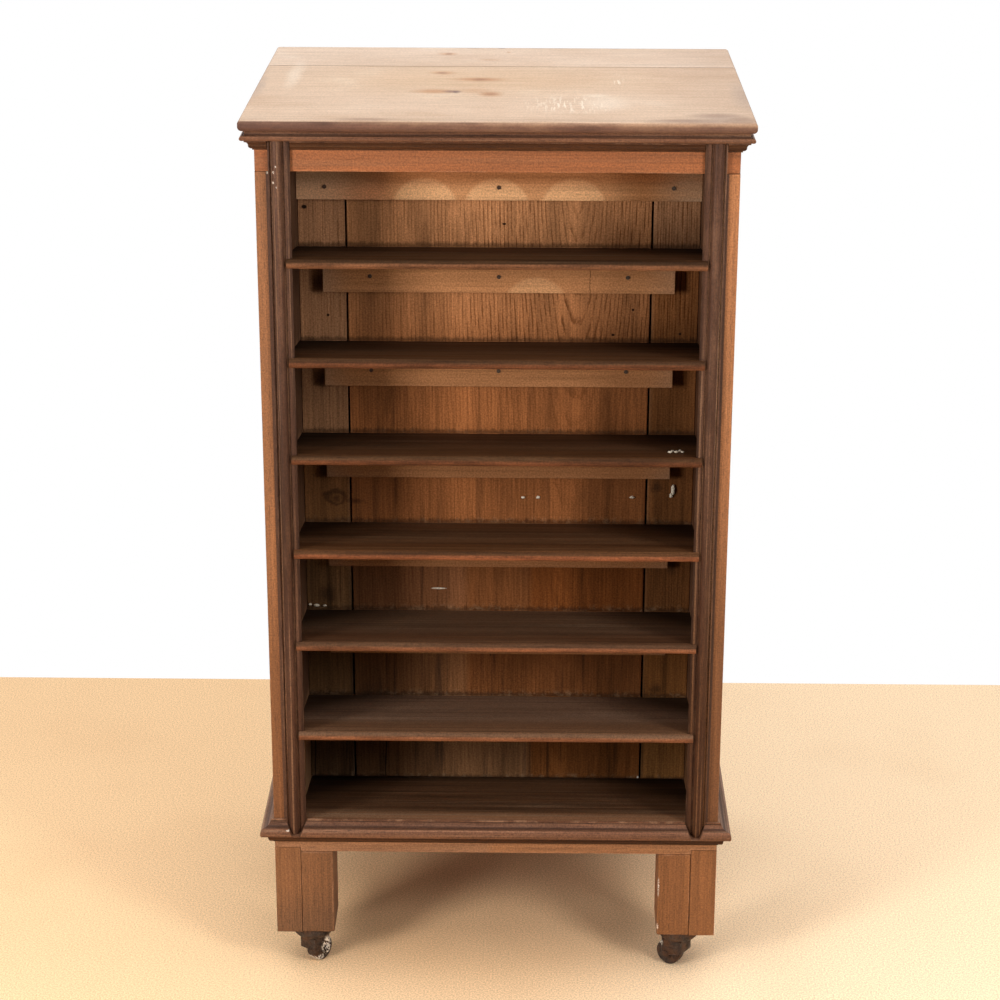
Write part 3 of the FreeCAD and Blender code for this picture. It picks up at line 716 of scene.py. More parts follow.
# A dark ragged line and dust above each shelf, counted up from a line that lies below the lowest shelf
SHELF_PITCH = 87.7 * MM
COUNT_START = 665.7 * MM - 10 * SHELF_PITCH
DARK_LINE_TEAR = -7 * MM
DARK_LINE_EDGE = (2 * MM, -2 * MM)
DARK_LINE_SHARE = 0.6
POWDER = ((160.0, 4.0, 0.65), (0.46, 0.70))
POWDER_EDGE = (9 * MM, 2 * MM)
POWDER_SHARE = 0.35

# Marks on the partition, centre and reach in millimetres across and up: holes, grime with painted shadows
# beside the batten ends, a knot and pale spots
BOARD_FACE = -35.5
MARK_DEPTH = 4.0
BEND = (110.0, 3.0)
BEND_ACROSS = 9 * MM
BEND_UP = -8 * MM
HOLE_SOFT = 0.5
HOLES = [
    (4.6, 686.9, 2.3, 1.3), (-173.6, 701.5, 3.2, 2.4), (-154.2, 601.8, 1.7, 1.7),
    (120.8, 608.3, 1.5, 1.5), (103.2, 584.8, 2, 1.4), (163.7, 586.1, 1.6, 1.6),
    (-68, 367, 1.5, 1.5), (-7, 273, 1.2, 6), (-36, 205, 1.4, 16), (-32, 190, 1.2, 9),
    (76, 186, 2, 10),
]
GRIME_AND_SHADOW_SOFT = 0.9
GRIME_AND_SHADOW_SHARE = 0.6
# Grime spots, and painted shadows beside the ends of the battens at about 160 mm either side
GRIME_AND_SHADOW_SPOTS = [
    (-173, 577, 12, 5), (145, 439, 8, 8), (-134, 423.5, 14, 3.5), (-150, 426.5, 8, 5),
    (-176, 664, 9, 6), (176, 661, 8, 6), (-176, 487, 10, 5), (-120, 205, 26, 60),
    (-160, 330, 14, 14), (150, 235, 10, 9), (-163, 633, 10, 16), (-161, 541, 10, 15),
    (-160, 452, 10, 13), (162, 362, 9, 13),
]
RIM_SOFT = 0.35
RIM_SHARE = 0.6
KNOT_RIM = [(-150.5, 427.5, 13, 9)]
KNOT_HEART = [(-150, 426.5, 9, 5)]
PALE_SOFT = 0.4
PALE_SHARE = 0.8
PALE_SPOTS = [(92.2, 181.7, 2.2, 1.6), (135.2, 141.5, 1.6, 2.4)]

# Painted light on the foot of the partition, and cracks there, in millimetres
LOWEST = [("Z", 232, 222)]
CRACK_PLACES = (-172.2, -105.0)
CRACK_HALF = 0.9
CRACK_WAVER = 5 * MM


def late_wood(look, side):
    """Lines of late wood: arches on the middle board and upright lines on the side boards."""
    place = look.place
    across = look.math("SUBTRACT", place["X"], HEART_X)
    depth = look.math("MULTIPLY_ADD", place["Z"], -RING_CLIMB, RING_CLIMB * HEART_TOP)
    radius = look.vector("LENGTH", look.combine(across, depth, 0.0))
    middle_phase = look.product(radius, RINGS_PER_METRE)
    side_phase = look.product(place["X"], SIDE_RINGS_PER_METRE)
    side_phase = look.math("MULTIPLY_ADD", look.texture(CROWDED), CROWDED_RINGS, side_phase)
    gap = look.math("SUBTRACT", side_phase, middle_phase)
    phase = look.math("MULTIPLY_ADD", side, gap, middle_phase)
    for texture, rings in ((WANDER, WANDER_RINGS), (TREMBLE, TREMBLE_RINGS)):
        phase = look.math("MULTIPLY_ADD", look.texture(texture), rings, phase)
    ring = look.math("FRACT", phase)
    late = look.product(look.band(ring, *RING_RISE), look.band(ring, *RING_DROP))
    return look.product(late, look.patches(DASHES, DASH_LEVELS))


def board_marks(look, point, rows, soft):
    """Spots on the face of the partition."""
    spots = []
    for x, z, half_x, half_z in rows:
        spots.append(look.spot(point, (x, BOARD_FACE, z), (half_x, MARK_DEPTH, half_z), soft))
    return look.most(spots)


def shaded_aged_partition(look, side, colour):
    """Painted shade and light on the partition, with its dirt and marks."""
    place = look.place
    middle = look.math("SUBTRACT", 1.0, side)
    colour = look.tint(look.product(middle, look.fade(PINE_HUE_HEIGHT)), colour, PINE_HUE)
    low = look.fade(PINE_LOW)
    colour = look.tint(low, colour, PINE_LOW_SHADE)
    colour = look.lay(colour, CRACK, look.patches(*DARK_STREAKS), low, DARK_STREAK_SHARE)
    colour = look.tinted(colour, PINE_TINTS)
    colour = look.washed(colour, PINE_WASHES)
    above = look.math("MODULO", look.math("SUBTRACT", place["Z"], COUNT_START), SHELF_PITCH)
    torn = look.math("MULTIPLY_ADD", look.texture(DASHES), DARK_LINE_TEAR, above)
    colour = look.lay(colour, CRACK, look.band(torn, *DARK_LINE_EDGE), DARK_LINE_SHARE)
    powder = look.product(look.band(above, *POWDER_EDGE), look.clouds(*POWDER))
    colour = look.lay(colour, PINE_DUST, powder, low, POWDER_SHARE)
    bend = look.math("SUBTRACT", look.noise(look.point, *BEND), 0.5)
    shift = look.combine(look.product(bend, BEND_ACROSS), 0.0, look.product(bend, BEND_UP))
    bent = look.vector("ADD", look.point, shift)
    knot = board_marks(look, bent, KNOT_RIM, RIM_SOFT)
    rim = look.math("SUBTRACT", knot, board_marks(look, bent, KNOT_HEART, HOLE_SOFT))
    soiled_and_shaded = look.product(board_marks(look, bent, GRIME_AND_SHADOW_SPOTS, GRIME_AND_SHADOW_SOFT), GRIME_AND_SHADOW_SHARE)
    holes = board_marks(look, look.point, HOLES, HOLE_SOFT)
    colour = look.mix(look.most([holes, look.product(rim, RIM_SHARE), soiled_and_shaded]), colour, CRACK)
    pale = look.product(board_marks(look, bent, PALE_SPOTS, PALE_SOFT), PALE_SHARE)
    colour = look.mix(pale, colour, CHIP)
    lowest = look.fade(LOWEST)
    colour = look.tint(lowest, colour, PINE_LOWEST)
    jagged = look.math("MULTIPLY_ADD", look.texture(TREMBLE), CRACK_WAVER, place["X"])
    cracks = look.most([look.line(jagged, x, CRACK_HALF) for x in CRACK_PLACES])
    return look.lay(colour, CRACK, cracks, lowest)


def pine(name, seen=True):
    """Flat-sawn softwood: fine streaks, and arched late wood where the board is freshest."""
    look = Shader(name, "Z")
    side = look.fade(SIDE_BOARDS)
    late = late_wood(look, side)
    streaks = look.texture(PINE_STREAKS)
    bands = look.texture(PINE_BANDS)
    fine = look.product(streaks, PINE_STREAK_SHARE)
    tone = look.math("ADD", fine, look.product(bands, PINE_BAND_SHARE))
    colour = look.shades(tone, PINE, PINE_SPREAD)
    side_colour = look.shades(tone, PINE_SIDE, PINE_SPREAD)
    colour = look.lay(colour, side_colour, side, SIDE_SHARE)
    strength = look.band(bands, *LATE_LEVELS)
    strength = look.product(strength, look.band(look.place["Z"], *LATE_HEIGHTS))
    if seen:
        fresh = look.product(look.fade(FRESH), look.patches(WANDER, FRESH_LEVELS), FRESH_SHARE)
        strength = look.math("MAXIMUM", strength, fresh)
    colour = look.lay(colour, PINE_LATE, late, strength)
    colour = look.stained(colour, PINE_STAINS)
    if seen:
        colour = shaded_aged_partition(look, side, colour)
    height = look.math("SUBTRACT", streaks, look.product(late, LATE_RELIEF))
    return look.finish(colour, look.band(streaks, *PINE_ROUGH), height, *PINE_SURFACE)


# Battens
BATTEN_GRAIN = (420.0, 40.0)
BATTEN_SPREAD = 0.22
BATTEN_PORE_SHARE = 0.35
UPPER = ("Z", 690, 710)
UPPER_FOOT = ("Z", 733, 718)
# Painted shade and light: the highest batten is darker under the rail and at its outer parts and lighter
# towards its foot, and the lower battens are darker
BATTEN_TINTS = [
    ([UPPER, ("side", 90, 130)], (0.70, 0.62, 0.54)),
    ([UPPER, UPPER_FOOT], (1.55, 1.95, 2.30)),
    ([UPPER, UPPER_FOOT, ("X", -85, -115)], (1.08, 0.86, 0.77)),
    ([("Z", 600, 440)], (0.72, 0.70, 0.70)),
]
BATTEN_ROUGH = (0.3, 0.7, 0.78, 0.64)
BATTEN_SURFACE = (0.12 * MM, 0.05)

# Soiled ends of the battens, and painted light on the left end of the highest one
ENDS = [("side", 125, 172)]
END_SOIL = ((8.0, 30.0, 4.0), (0.35, 0.65, 0.55, 1.0))
END_SHARE = 0.85
PAINTED_LIGHT_CORNER = [UPPER, ("X", -90, -165)]
CORNER_SHARE = 0.75

# Split in the batten under the highest shelf: place across and half width, and height, in millimetres
SPLIT_LINE = (83.0, 0.5)
SPLIT_WAVER = 3 * MM
SPLIT_HEIGHT = [("Z", 618, 624), ("Z", 664, 659)]
SPLIT_SHARE = 0.7

# Pale round marks that record boxes left on the battens: centre in millimetres and strength
DISC_REACH = (31.25, 20.0, 31.25)
DISC_SOFT = 0.14
BATTEN_FACE = -48.5
DISCS = [
    (-127.9, 702.0, 0.30), (-65.6, 702.0, 1.0), (-1.8, 702.0, 1.0), (66.0, 702.0, 0.9),
    (124.0, 702.0, 0.14), (33.2, 612.0, 0.85), (126.0, 612.0, 0.15),
]


def batten_wood(name):
    """Bare wood, faded in round marks, dirty at the ends, with painted shade and light on the highest batten
    and painted shade lower down.
    """
    look = Shader(name, "X")
    tone, streaks, pores = plain_grain(look, *BATTEN_GRAIN)
    lower = look.shades(tone, BATTEN, BATTEN_SPREAD)
    colour = look.mix(look.fade([UPPER]), lower, look.shades(tone, BATTEN_TOP, BATTEN_SPREAD))
    faded = []
    for x, z, strength in DISCS:
        disc = look.spot(look.point, (x, BATTEN_FACE, z), DISC_REACH, DISC_SOFT)
        faded.append(look.product(disc, strength))
    colour = look.tint(look.most(faded), colour, BATTEN_FADED)
    colour = look.lay(colour, BATTEN_END, look.fade(ENDS), look.patches(*END_SOIL), END_SHARE)
    colour = look.lay(colour, BATTEN_CORNER, look.fade(PAINTED_LIGHT_CORNER), CORNER_SHARE)
    colour = look.tinted(colour, BATTEN_TINTS)
    colour = look.lay(colour, BATTEN_PORE, pores, BATTEN_PORE_SHARE)
    jagged = look.math("MULTIPLY_ADD", streaks, SPLIT_WAVER, look.place["X"])
    split = look.product(look.line(jagged, *SPLIT_LINE), look.fade(SPLIT_HEIGHT))
    colour = look.lay(colour, CRACK, split, SPLIT_SHARE)
    return look.finish(colour, look.band(streaks, *BATTEN_ROUGH), streaks, *BATTEN_SURFACE)


# Top: grain, clouds and the edges that keep their stain
TOP_GRAIN = (420.0, 30.0)
TOP_SPREAD = 0.09
TOP_PORE_SHARE = 0.22
TOP_CLOUDS = (7.0, 9.0, 5.0, 0.65)
TOP_STAINS = [
    (TOP_CLOUDS, (0.44, 0.72), 0.60, TOP_BROWN),
    (TOP_CLOUDS, (0.44, 0.28), 0.35, TOP_PALE),
]
SLAB_SPREAD = 0.30
SLAB_RUBBED = (16.0, 60.0, 5.0, 0.65)
SLAB_STAINS = [
    (SLAB_RUBBED, (0.46, 0.66), 0.6, DARK_WORN),
    (SLAB_RUBBED, (0.46, 0.34), 0.35, DARK_PORE),
]
SLAB_RISE = 8 * MM
SLAB_TINTS = [([("X", -90, -150)], (0.76, 0.72, 0.76))]
BARE_RISE = (5 * MM, 1 * MM)
BARE_ACROSS = (-180 * MM, 120 * MM, 0.10, 0.55)
BARE_LEVELS = (0.36, 0.60, 0.4, 1.0)
FLAT_LEVELS = (0.60, 0.90)
TOP_ROUGH = (0.3, 0.7, 0.68, 0.54)
TOP_SURFACE = (0.10 * MM, 0.25, 0.45)

# Seam between the boards, and the soil along the front and the right
SEAM_LINE = (76.4, 1.6)
SEAM_SHARE = 0.6
TOP_TINTS = [([("Y", 75.9, 76.9)], (1.05, 1.09, 1.15))]
RIGHTWARDS = [("X", 110, 205)]
FRONT_SOIL = [("Y", -150, -173)]
SOIL = ((14.0, 30.0, 4.0), (0.36, 0.62, 0.35, 1.0))
SOIL_RIGHTWARDS = (0.0, 1.0, 0.25, 0.85)

# Marks on the top, centre and reach in millimetres across and along it: brown knots and their dark hearts
# with their strength, a warm wash, scratches, haze, smudges and brown clouds
MARK_HEIGHT = 30.0
MARK_SOFT = 0.9
DRIFT = (45.0, 3.0)
DRIFT_ACROSS = 9 * MM
KNOTS = [
    (-50.2, 140.8, 13, 11, 0.7), (-11, 111, 16, 9, 0.3), (6.3, 151, 4, 6, 0.6),
    (-52.7, 43.8, 17, 13, 0.6), (-17.5, 12.8, 34, 13, 0.8), (-56.7, -43.5, 27, 16, 0.75),
    (-21.4, -39.8, 24, 17, 0.4), (-6.9, -54.6, 15, 16, 0.8),
]
HEARTS = [
    (-49.7, 140.8, 5, 7, 0.45), (-52.7, 43, 7, 8, 0.35), (-17, 12.8, 11, 9, 0.40),
    (-41.5, -44, 13, 9, 0.75), (-37.2, -46, 5, 9, 0.75), (-6.5, -54.6, 8, 9, 0.30),
]
WARM_WASH = [(-20, 10, 230, 110)]
SCRATCHED = [(66, -98, 64, 50), (104, 13, 7, 40)]
STROKES = (430.0, 34.0, 1.0)
STROKE_DETAIL = (3.0, 0.6)
STROKE_LEVELS = (0.50, 0.63)
HAZE_SHARE = 0.5
HAZE = [(92, -92, 30, 46), (84, -61, 20, 14), (-185, 30, 10, 90)]
SMUDGE_SHARE = 0.7
SMUDGES = [(185, -153, 34, 26), (167, -170, 50, 20), (212, -60, 16, 100), (-214, -20, 10, 110)]
BROWN_SHARE = 0.55
BROWN_CLOUDS = [(182, -143, 30, 14), (202, -158, 18, 14), (150, -166, 40, 10), (-110, -166, 36, 9)]


def top_face(look, streaks, top_z):
    """Pale flat of the top with its knots, scratches and soil."""
    drift = look.math("SUBTRACT", look.noise(look.point, *DRIFT), 0.5)
    shift = look.combine(look.product(drift, DRIFT_ACROSS), 0.0, 0.0)
    point = look.vector("ADD", look.point, shift)

    def marked(rows):
        spots = []
        for x, y, half_x, half_y in rows:
            spots.append(look.spot(point, (x, y, top_z / MM), (half_x, half_y, MARK_HEIGHT), MARK_SOFT))
        return look.most(spots)

    pale = look.shades(streaks, TOP, TOP_SPREAD)
    pale = look.stained(pale, TOP_STAINS)
    pale = look.tint(marked(WARM_WASH), pale, TOP_WARM)
    for rows, tone in ((KNOTS, KNOT), (HEARTS, HEART)):
        for *mark, strength in rows:
            pale = look.tint(look.product(marked([mark]), strength), pale, tone)
    strokes = look.noise(look.vector("MULTIPLY", look.point, STROKES), 1.0, *STROKE_DETAIL)
    scratched = look.product(marked(SCRATCHED), look.band(strokes, *STROKE_LEVELS))
    haze = look.product(marked(HAZE), HAZE_SHARE)
    pale = look.mix(look.most([scratched, haze]), pale, TOP_PALE)
    pale = look.lay(pale, TOP_GREY, marked(SMUDGES), SMUDGE_SHARE)
    pale = look.tinted(pale, TOP_TINTS)
    seam = look.line(look.place["Y"], *SEAM_LINE)
    pale = look.lay(pale, TOP_SOIL, seam, SEAM_SHARE)
    rightwards = look.fade(RIGHTWARDS)
    pale = look.tint(rightwards, pale, TOP_RIGHT)
    pale = look.lay(pale, TOP_SOIL, marked(BROWN_CLOUDS), BROWN_SHARE)
    handled = look.product(look.fade(FRONT_SOIL), look.patches(*SOIL))
    return look.lay(pale, TOP_SOIL, handled, look.band(rightwards, *SOIL_RIGHTWARDS))


def slab_edge(look, tone, top_z):
    """Dark rounded edge of the top with painted shade towards its foot, rubbed through near the upper side.
    """
    edge = look.shades(tone, SLAB_EDGE, SLAB_SPREAD)
    edge = look.stained(edge, SLAB_STAINS)
    rising = look.band(look.place["Z"], top_z - SLAB_RISE, top_z)
    edge = look.tint(look.math("SUBTRACT", 1.0, rising), edge, SLAB_FOOT)
    edge = look.tinted(edge, SLAB_TINTS)
    bare = look.product(
        look.band(look.place["Z"], *[top_z - below for below in BARE_RISE]),
        look.band(look.place["X"], *BARE_ACROSS),
        look.patches(SLAB_RUBBED, BARE_LEVELS),
    )
    return look.mix(bare, edge, TOP_BROWN)


def bleached_wood(name, top_z):
    """Pale worn top with knots; the rounded edge keeps its dark stain."""
    look = Shader(name, "X")
    tone, streaks, pores = plain_grain(look, *TOP_GRAIN)
    pale = top_face(look, streaks, top_z)
    edge = slab_edge(look, tone, top_z)
    colour = look.mix(look.band(look.normal_up(), *FLAT_LEVELS), edge, pale)
    colour = look.lay(colour, TOP_PORE, pores, TOP_PORE_SHARE)
    return look.finish(colour, look.band(streaks, *TOP_ROUGH), streaks, *TOP_SURFACE)


# Iron: scale, rust and rubbed edges
SCALE_TEXTURE = (150.0, 6.0, 0.7)
IRON_SPREAD = 0.65
RUST_CLOUDS = ((90.0, 4.0, 0.7), (0.42, 0.66))
IRON_WEAR = (200.0, (0.45, 0.62), 0.35, IRON_RUBBED)
IRON_ROUGH = (0.3, 0.7, 0.72, 0.45)
IRON_SURFACE = (0.5 * MM, 0.2)
IRON_METALLIC = 0.15

# Pale lint caught in the front casters: centre and reach in millimetres
LINT_SLANT = math.radians(35.0)
LINT_STRETCH = (700.0, 300.0, 120.0)
LINT_DETAIL = (3.0, 0.5, 0.5)
LINT_LEVELS = (0.44, 0.54)
LINT_SOFT = 0.5
LINT_SHARE = 0.95
LINT = [
    ((-159.0, -146.0, 16.0), (5.5, 30.0, 12.0)),
    ((-169.0, -152.0, 4.5), (13.0, 30.0, 4.0)),
    ((154.0, -147.0, 23.0), (3.5, 30.0, 4.5)),
]


def rusted_iron(name, tone=IRON):
    """Dark scaly iron with rust, and lint where it is caught in the casters."""
    look = Shader(name)
    scale = look.noise(look.point, *SCALE_TEXTURE)
    colour = look.mix(look.clouds(*RUST_CLOUDS), look.shades(scale, tone, IRON_SPREAD), RUST)
    colour = look.rubbed(colour, IRON_WEAR)
    caught = look.most([look.spot(look.point, centre, reach, LINT_SOFT) for centre, reach in LINT])
    turned = look.add("VectorRotate", {"rotation_type": "Y_AXIS"}, Vector=look.point, Angle=LINT_SLANT)
    twisted = look.vector("MULTIPLY", turned.outputs["Vector"], LINT_STRETCH)
    thread = look.band(look.noise(twisted, 1.0, *LINT_DETAIL), *LINT_LEVELS)
    colour = look.lay(colour, THREAD, caught, thread, LINT_SHARE)
    look.surface.inputs["Metallic"].default_value = IRON_METALLIC
    return look.finish(colour, look.band(scale, *IRON_ROUGH), scale, *IRON_SURFACE)


# Silk of the cocoons
FIBRE_STRETCH = (900.0, 900.0, 2600.0)
FIBRE_DETAIL = (4.0, 0.65)
SILK_SPREAD = 0.25
SILK_ROUGHNESS = 0.9
SILK_SURFACE = (0.3 * MM, 0.2)


def silk(name):
    """Matted pale fibre."""
    look = Shader(name)
    fibre = look.noise(look.vector("MULTIPLY", look.point, FIBRE_STRETCH), 1.0, *FIBRE_DETAIL)
    colour = look.shades(fibre, SILK, SILK_SPREAD)
    return look.finish(colour, SILK_ROUGHNESS, fibre, *SILK_SURFACE)


# Wear of shapes
def cut_stations(shape, low, high, axis, places):
    normal = Vector((0, 0, 0))
    normal[axis] = 1.0
    for place in places:
        if low[axis] + WELD < place < high[axis] - WELD:
            geometry = shape.verts[:] + shape.edges[:] + shape.faces[:]
            bmesh.ops.bisect_plane(shape, geom=geometry, dist=WELD, plane_co=normal * place, plane_no=normal)


def spaced(start, end, step):
    count = max(1, round((end - start) / step))
    return [start + (end - start) * index / count for index in range(1, count)]


def placed(name, data):
    """A new object in the scene."""
    made = bpy.data.objects.new(name, data)
    bpy.context.scene.collection.objects.link(made)
    return made


def add_piece(name, shape, material, body):
    """A smooth-shaded piece that rides on a body."""
    mesh = bpy.data.meshes.new(name)
    shape.to_mesh(mesh)
    shape.free()
    for polygon in mesh.polygons:
        polygon.use_smooth = True
    piece = placed(name, mesh)
    mesh.materials.append(material)
    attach(piece, body)
    return piece


def worn_copy(node, material, step, rounding):
    """The node's own solid with its edges rubbed round and nicked, always inwards."""
    source = frame["nodes"][node]
    low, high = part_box(node)
    shape = bmesh.new()
    shape.from_mesh(source.data)
    bmesh.ops.remove_doubles(shape, verts=shape.verts[:], dist=WELD)
    bmesh.ops.dissolve_limit(shape, angle_limit=FLAT_ANGLE, verts=shape.verts[:], edges=shape.edges[:])
    rounded = shape.faces.layers.int.new("rounded")
    sharp = []
    for edge in shape.edges:
        long_enough = edge.is_manifold and edge.calc_length() > SHORTEST_WORN_EDGE
        if long_enough and edge.calc_face_angle() > SHARP_ANGLE:
            sharp.append(edge)
    rubbed = bmesh.ops.bevel(
        shape, geom=sharp, offset=rounding, offset_type="OFFSET", segments=EDGE_SEGMENTS,
        profile=0.5, affect="EDGES", clamp_overlap=True,
    )
    for face in rubbed["faces"]:
        face[rounded] = 1
    longest = max(range(3), key=lambda axis: high[axis] - low[axis])
    for axis in range(3):
        places = [low[axis] + SUPPORT_MARGIN, high[axis] - SUPPORT_MARGIN]
        if axis == longest:
            places += spaced(low[axis], high[axis], step)
        cut_stations(shape, low, high, axis, places)
    shape.normal_update()
    for edge in shape.edges:
        edge.smooth = not edge.is_manifold or edge.calc_face_angle() < CRISP_ANGLE
    wear = shape.verts.layers.float.new("wear")
    for vert in shape.verts:
        vert[wear] = float(any(face[rounded] for face in vert.link_faces))
        wave = 0.5 + 0.5 * noise.noise(vert.co * WAVE_FREQUENCY)
        nick = max(0.0, noise.noise(vert.co * NICK_FREQUENCY) - NICK_LEVEL)
        vert.co -= vert.normal * (wave * WAVE_DEPTH + nick * NICK_DEPTH * vert[wear])
    piece = add_piece(node + "_worn", shape, material, source["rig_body"])
    weighted = piece.modifiers.new("weighted normals", "WEIGHTED_NORMAL")
    weighted.weight = 100
    weighted.keep_sharp = True
    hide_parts(node)


def add_lump(shape, centre, reach, seed):
    """A lumpy closed form, such as a cocoon or a flake, in millimetres."""
    made = bmesh.ops.create_icosphere(shape, subdivisions=3, radius=1.0)
    for vert in made["verts"]:
        swell = 1.0 + LUMP_SWELL * noise.noise(vert.co * LUMP_FREQUENCY + Vector((seed, 0.0, 0.0)))
        parts = zip(centre, vert.co, reach)
        vert.co = Vector([(start + part * size * swell) * MM for start, part, size in parts])


# Dressing of the nodes
top_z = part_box("top_front_board")[1].z
shelf_front_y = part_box("shelf_1")[0].y + NOSE_DEPTH
finishes = {
    "frame_upright": frame_wood("frame_wood_upright", "Z"),
    "frame_lined": frame_wood("frame_wood_lined", "Z", lined=True),
    "frame_level": frame_wood("frame_wood_level", "X"),
    "frame_rail": frame_wood("frame_wood_rail", "X", FRAME_RAIL),
    "frame_low_rail": frame_wood("frame_wood_low_rail", "X", FRAME_LOW_RAIL),
    "dark_upright": dark_wood("dark_wood_upright", "Z", PILASTER),
    "dark_level": dark_wood("dark_wood_level", "X", MOULDING),
    "dark_side": dark_wood("dark_wood_side", "Y", MOULDING, SIDE_WEATHERING),
    "shelf": shelf_wood("shelf_wood", shelf_front_y),
    "pine": pine("pine_partition"),
    "pine_back": pine("pine_back", False),
    "batten": batten_wood("batten_wood"),
    "top": bleached_wood("bleached_wood", top_z),
    "iron": rusted_iron("rusted_iron"),
    "nails": rusted_iron("rusted_nails", NAIL),
    "silk": silk("silk"),
}
FINISH_OF = [
    ("top_batten", "batten"),
    ("top_", "top"),
    ("cornice_front", "dark_level"),
    ("cornice_", "dark_side"),
    ("base_moulding_front", "dark_level"),
    ("base_moulding_", "dark_side"),
    ("pilaster_", "dark_upright"),
    ("post_", "frame_lined"),
    ("side_panel_", "frame_lined"),
    ("leg_block_", "frame_upright"),
    ("front_top_rail", "frame_rail"),
    ("front_bottom_rail", "frame_low_rail"),
    ("rear_", "frame_level"),
    ("shelf_batten_", "batten"),
    ("shelf_", "shelf"),
    ("bottom_shelf", "shelf"),
    ("partition_", "pine"),
    ("back_board_", "pine_back"),
    ("caster_", "iron"),
    ("batten_nails", "nails"),
]
UNWORN = ("batten_nails", "caster_screws", "caster_axle_")


def finish_of(node):
    for start, key in FINISH_OF:
        if node.startswith(start):
            return finishes[key]
    raise ValueError("no finish for " + node)


for node, cad_object in frame["nodes"].items():
    if node.startswith(UNWORN):
        cad_object.data.materials.clear()
        cad_object.data.materials.append(finish_of(node))
    elif node.startswith("caster_"):
        worn_copy(node, finish_of(node), IRON_STEP, IRON_ROUNDING)
    elif node.startswith(("leg_block_", "post_")):
        worn_copy(node, finish_of(node), WOOD_STEP, LEG_ROUNDING)
    elif node.startswith("top_") and node != "top_batten":
        worn_copy(node, finish_of(node), WOOD_STEP, TOP_ROUNDING)
    else:
        worn_copy(node, finish_of(node), WOOD_STEP, WOOD_ROUNDING)

# Cocoons and flakes on the partition and the third shelf: centre and reach in millimetres
LUMPS = [
    ((161.2, -36.8, 437.4), (1.8, 1.6, 4.6)),
    ((159.4, -36.8, 431.5), (1.4, 1.3, 2.2)),
    ((123.5, -36.4, 429.3), (2.2, 1.2, 1.1)),
    ((22.8, -36.4, 428.5), (1.9, 1.1, 1.0)),
    ((36.7, -36.4, 428.6), (1.6, 1.1, 1.3)),
    ((-55.4, -36.2, 337.3), (6.6, 0.9, 0.7)),
    ((-176.5, -37.0, 320.4), (1.6, 1.2, 1.0)),
    ((-170.5, -37.0, 319.6), (2.4, 1.2, 1.2)),
    ((-163.0, -37.0, 319.4), (1.8, 1.2, 0.9)),
    ((151.4, -138.0, 508.5), (1.7, 1.6, 0.8)),
    ((154.0, -133.0, 507.7), (1.5, 2.0, 0.8)),
    ((157.2, -136.5, 508.2), (2.0, 1.4, 0.9)),
    ((160.6, -132.0, 507.5), (1.4, 2.0, 0.8)),
    ((162.6, -137.0, 508.3), (1.5, 1.6, 0.8)),
]
cocoons = bmesh.new()
for number, (centre, reach) in enumerate(LUMPS):
    add_lump(cocoons, centre, reach, float(number))
add_piece("cocoons", cocoons, finishes["silk"], "cabinet")


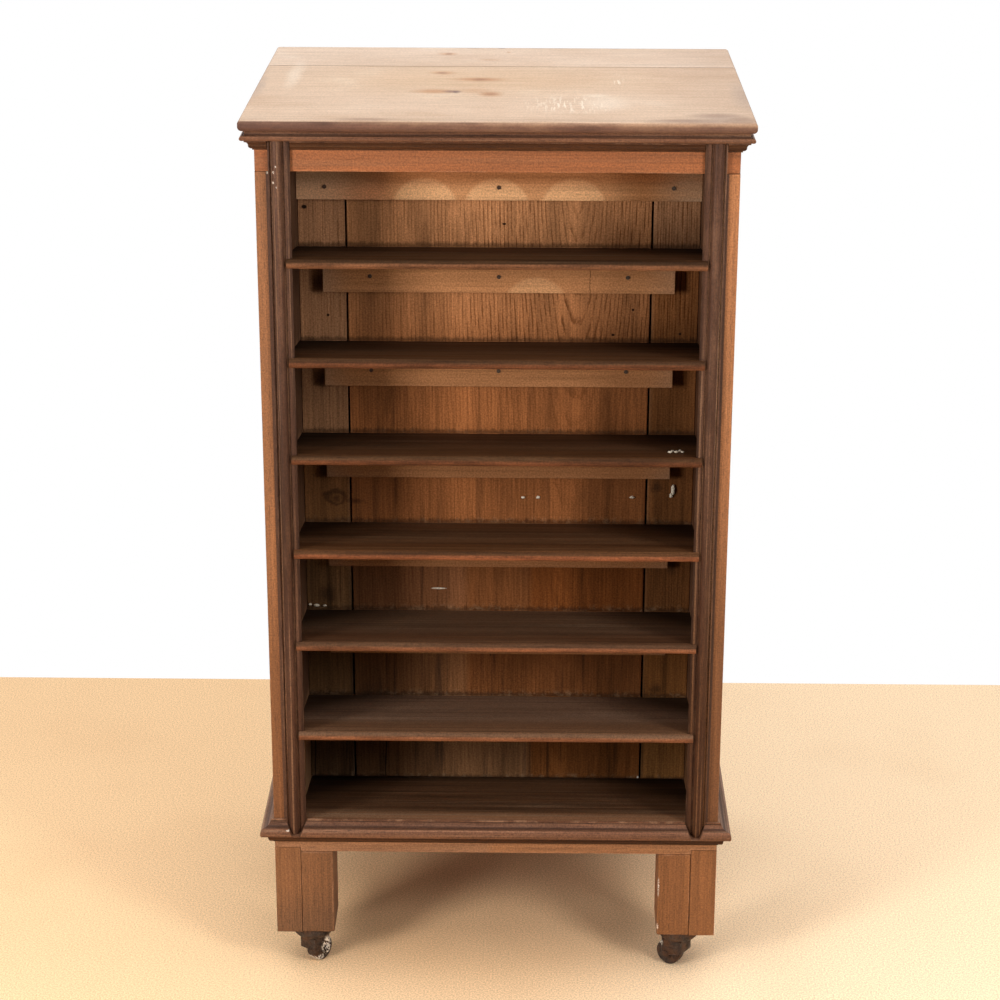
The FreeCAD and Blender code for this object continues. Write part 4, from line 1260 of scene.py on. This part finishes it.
# Stage, light and camera
def make_floor():
    left, right = -FLOOR_HALF_WIDTH, FLOOR_HALF_WIDTH
    corners = ((left, FLOOR_FRONT), (right, FLOOR_FRONT), (right, FLOOR_REAR), (left, FLOOR_REAR))
    mesh = bpy.data.meshes.new("floor")
    mesh.from_pydata([(x, y, 0.0) for x, y in corners], [], [(0, 1, 2, 3)])
    floor = placed("floor", mesh)
    look = Shader("floor_paper")
    clouds = look.noise(look.point, *FLOOR_CLOUDS)
    colour = look.mix(look.band(clouds, *FLOOR_CLOUD_LEVELS), FLOOR_TONE, FLOOR_STAIN)
    rightwards = look.band(look.place["X"], -FLOOR_FADE, FLOOR_FADE)
    colour = look.tint(1.0, colour, look.mix(rightwards, FLOOR_LEFT, FLOOR_RIGHT))
    colour = look.tint(look.spot(look.point, *FLOOR_SHADOW), colour, FLOOR_UNDER)
    mesh.materials.append(look.finish(colour, FLOOR_ROUGHNESS, clouds, *FLOOR_SURFACE))


def make_world():
    """White where it is seen or mirrored, and a plain fill for everything else."""
    world = bpy.data.worlds.new("studio")
    bpy.context.scene.world = world
    world.use_nodes = True
    nodes = world.node_tree.nodes
    links = world.node_tree.links
    background = nodes["Background"]
    background.inputs["Color"].default_value = (1.0, 1.0, 1.0, 1.0)
    rays = nodes.new("ShaderNodeLightPath")
    seen = rays.outputs["Is Camera Ray"]
    for name in ("Is Glossy Ray", "Is Transmission Ray"):
        both = nodes.new("ShaderNodeMath")
        both.operation = "MAXIMUM"
        links.new(seen, both.inputs[0])
        links.new(rays.outputs[name], both.inputs[1])
        seen = both.outputs[0]
    strength = nodes.new("ShaderNodeMapRange")
    strength.inputs["To Min"].default_value = BACKGROUND_FILL
    strength.inputs["To Max"].default_value = 1.0
    links.new(seen, strength.inputs["Value"])
    links.new(strength.outputs["Result"], background.inputs["Strength"])


def make_lamps():
    for name, (place, target, size, power) in LAMPS.items():
        data = bpy.data.lights.new(name, "AREA")
        data.shape = "RECTANGLE"
        data.size, data.size_y = size
        data.energy = power
        lamp = placed(name, data)
        lamp.location = place
        lamp.visible_camera = False
        lamp.rotation_mode = "QUATERNION"
        lamp.rotation_quaternion = (target - Vector(place)).to_track_quat("-Z", "Y")


def make_camera():
    data = bpy.data.cameras.new("photo_view")
    data.sensor_fit = "HORIZONTAL"
    data.sensor_width = SENSOR
    data.lens = FOCAL_PIXELS / FRAME_PIXELS * SENSOR
    camera = placed("photo_view", data)
    turn = Matrix.Rotation(CAMERA_HEADING, 4, "Z")
    tilt = Matrix.Rotation(math.pi / 2 - CAMERA_PITCH, 4, "X")
    roll = Matrix.Rotation(CAMERA_ROLL, 4, "Z")
    camera.matrix_world = Matrix.Translation(CAMERA_PLACE) @ turn @ tilt @ roll
    bpy.context.scene.camera = camera


make_floor()
make_world()
make_lamps()
make_camera()
bpy.context.scene.view_settings.view_transform = "Standard"
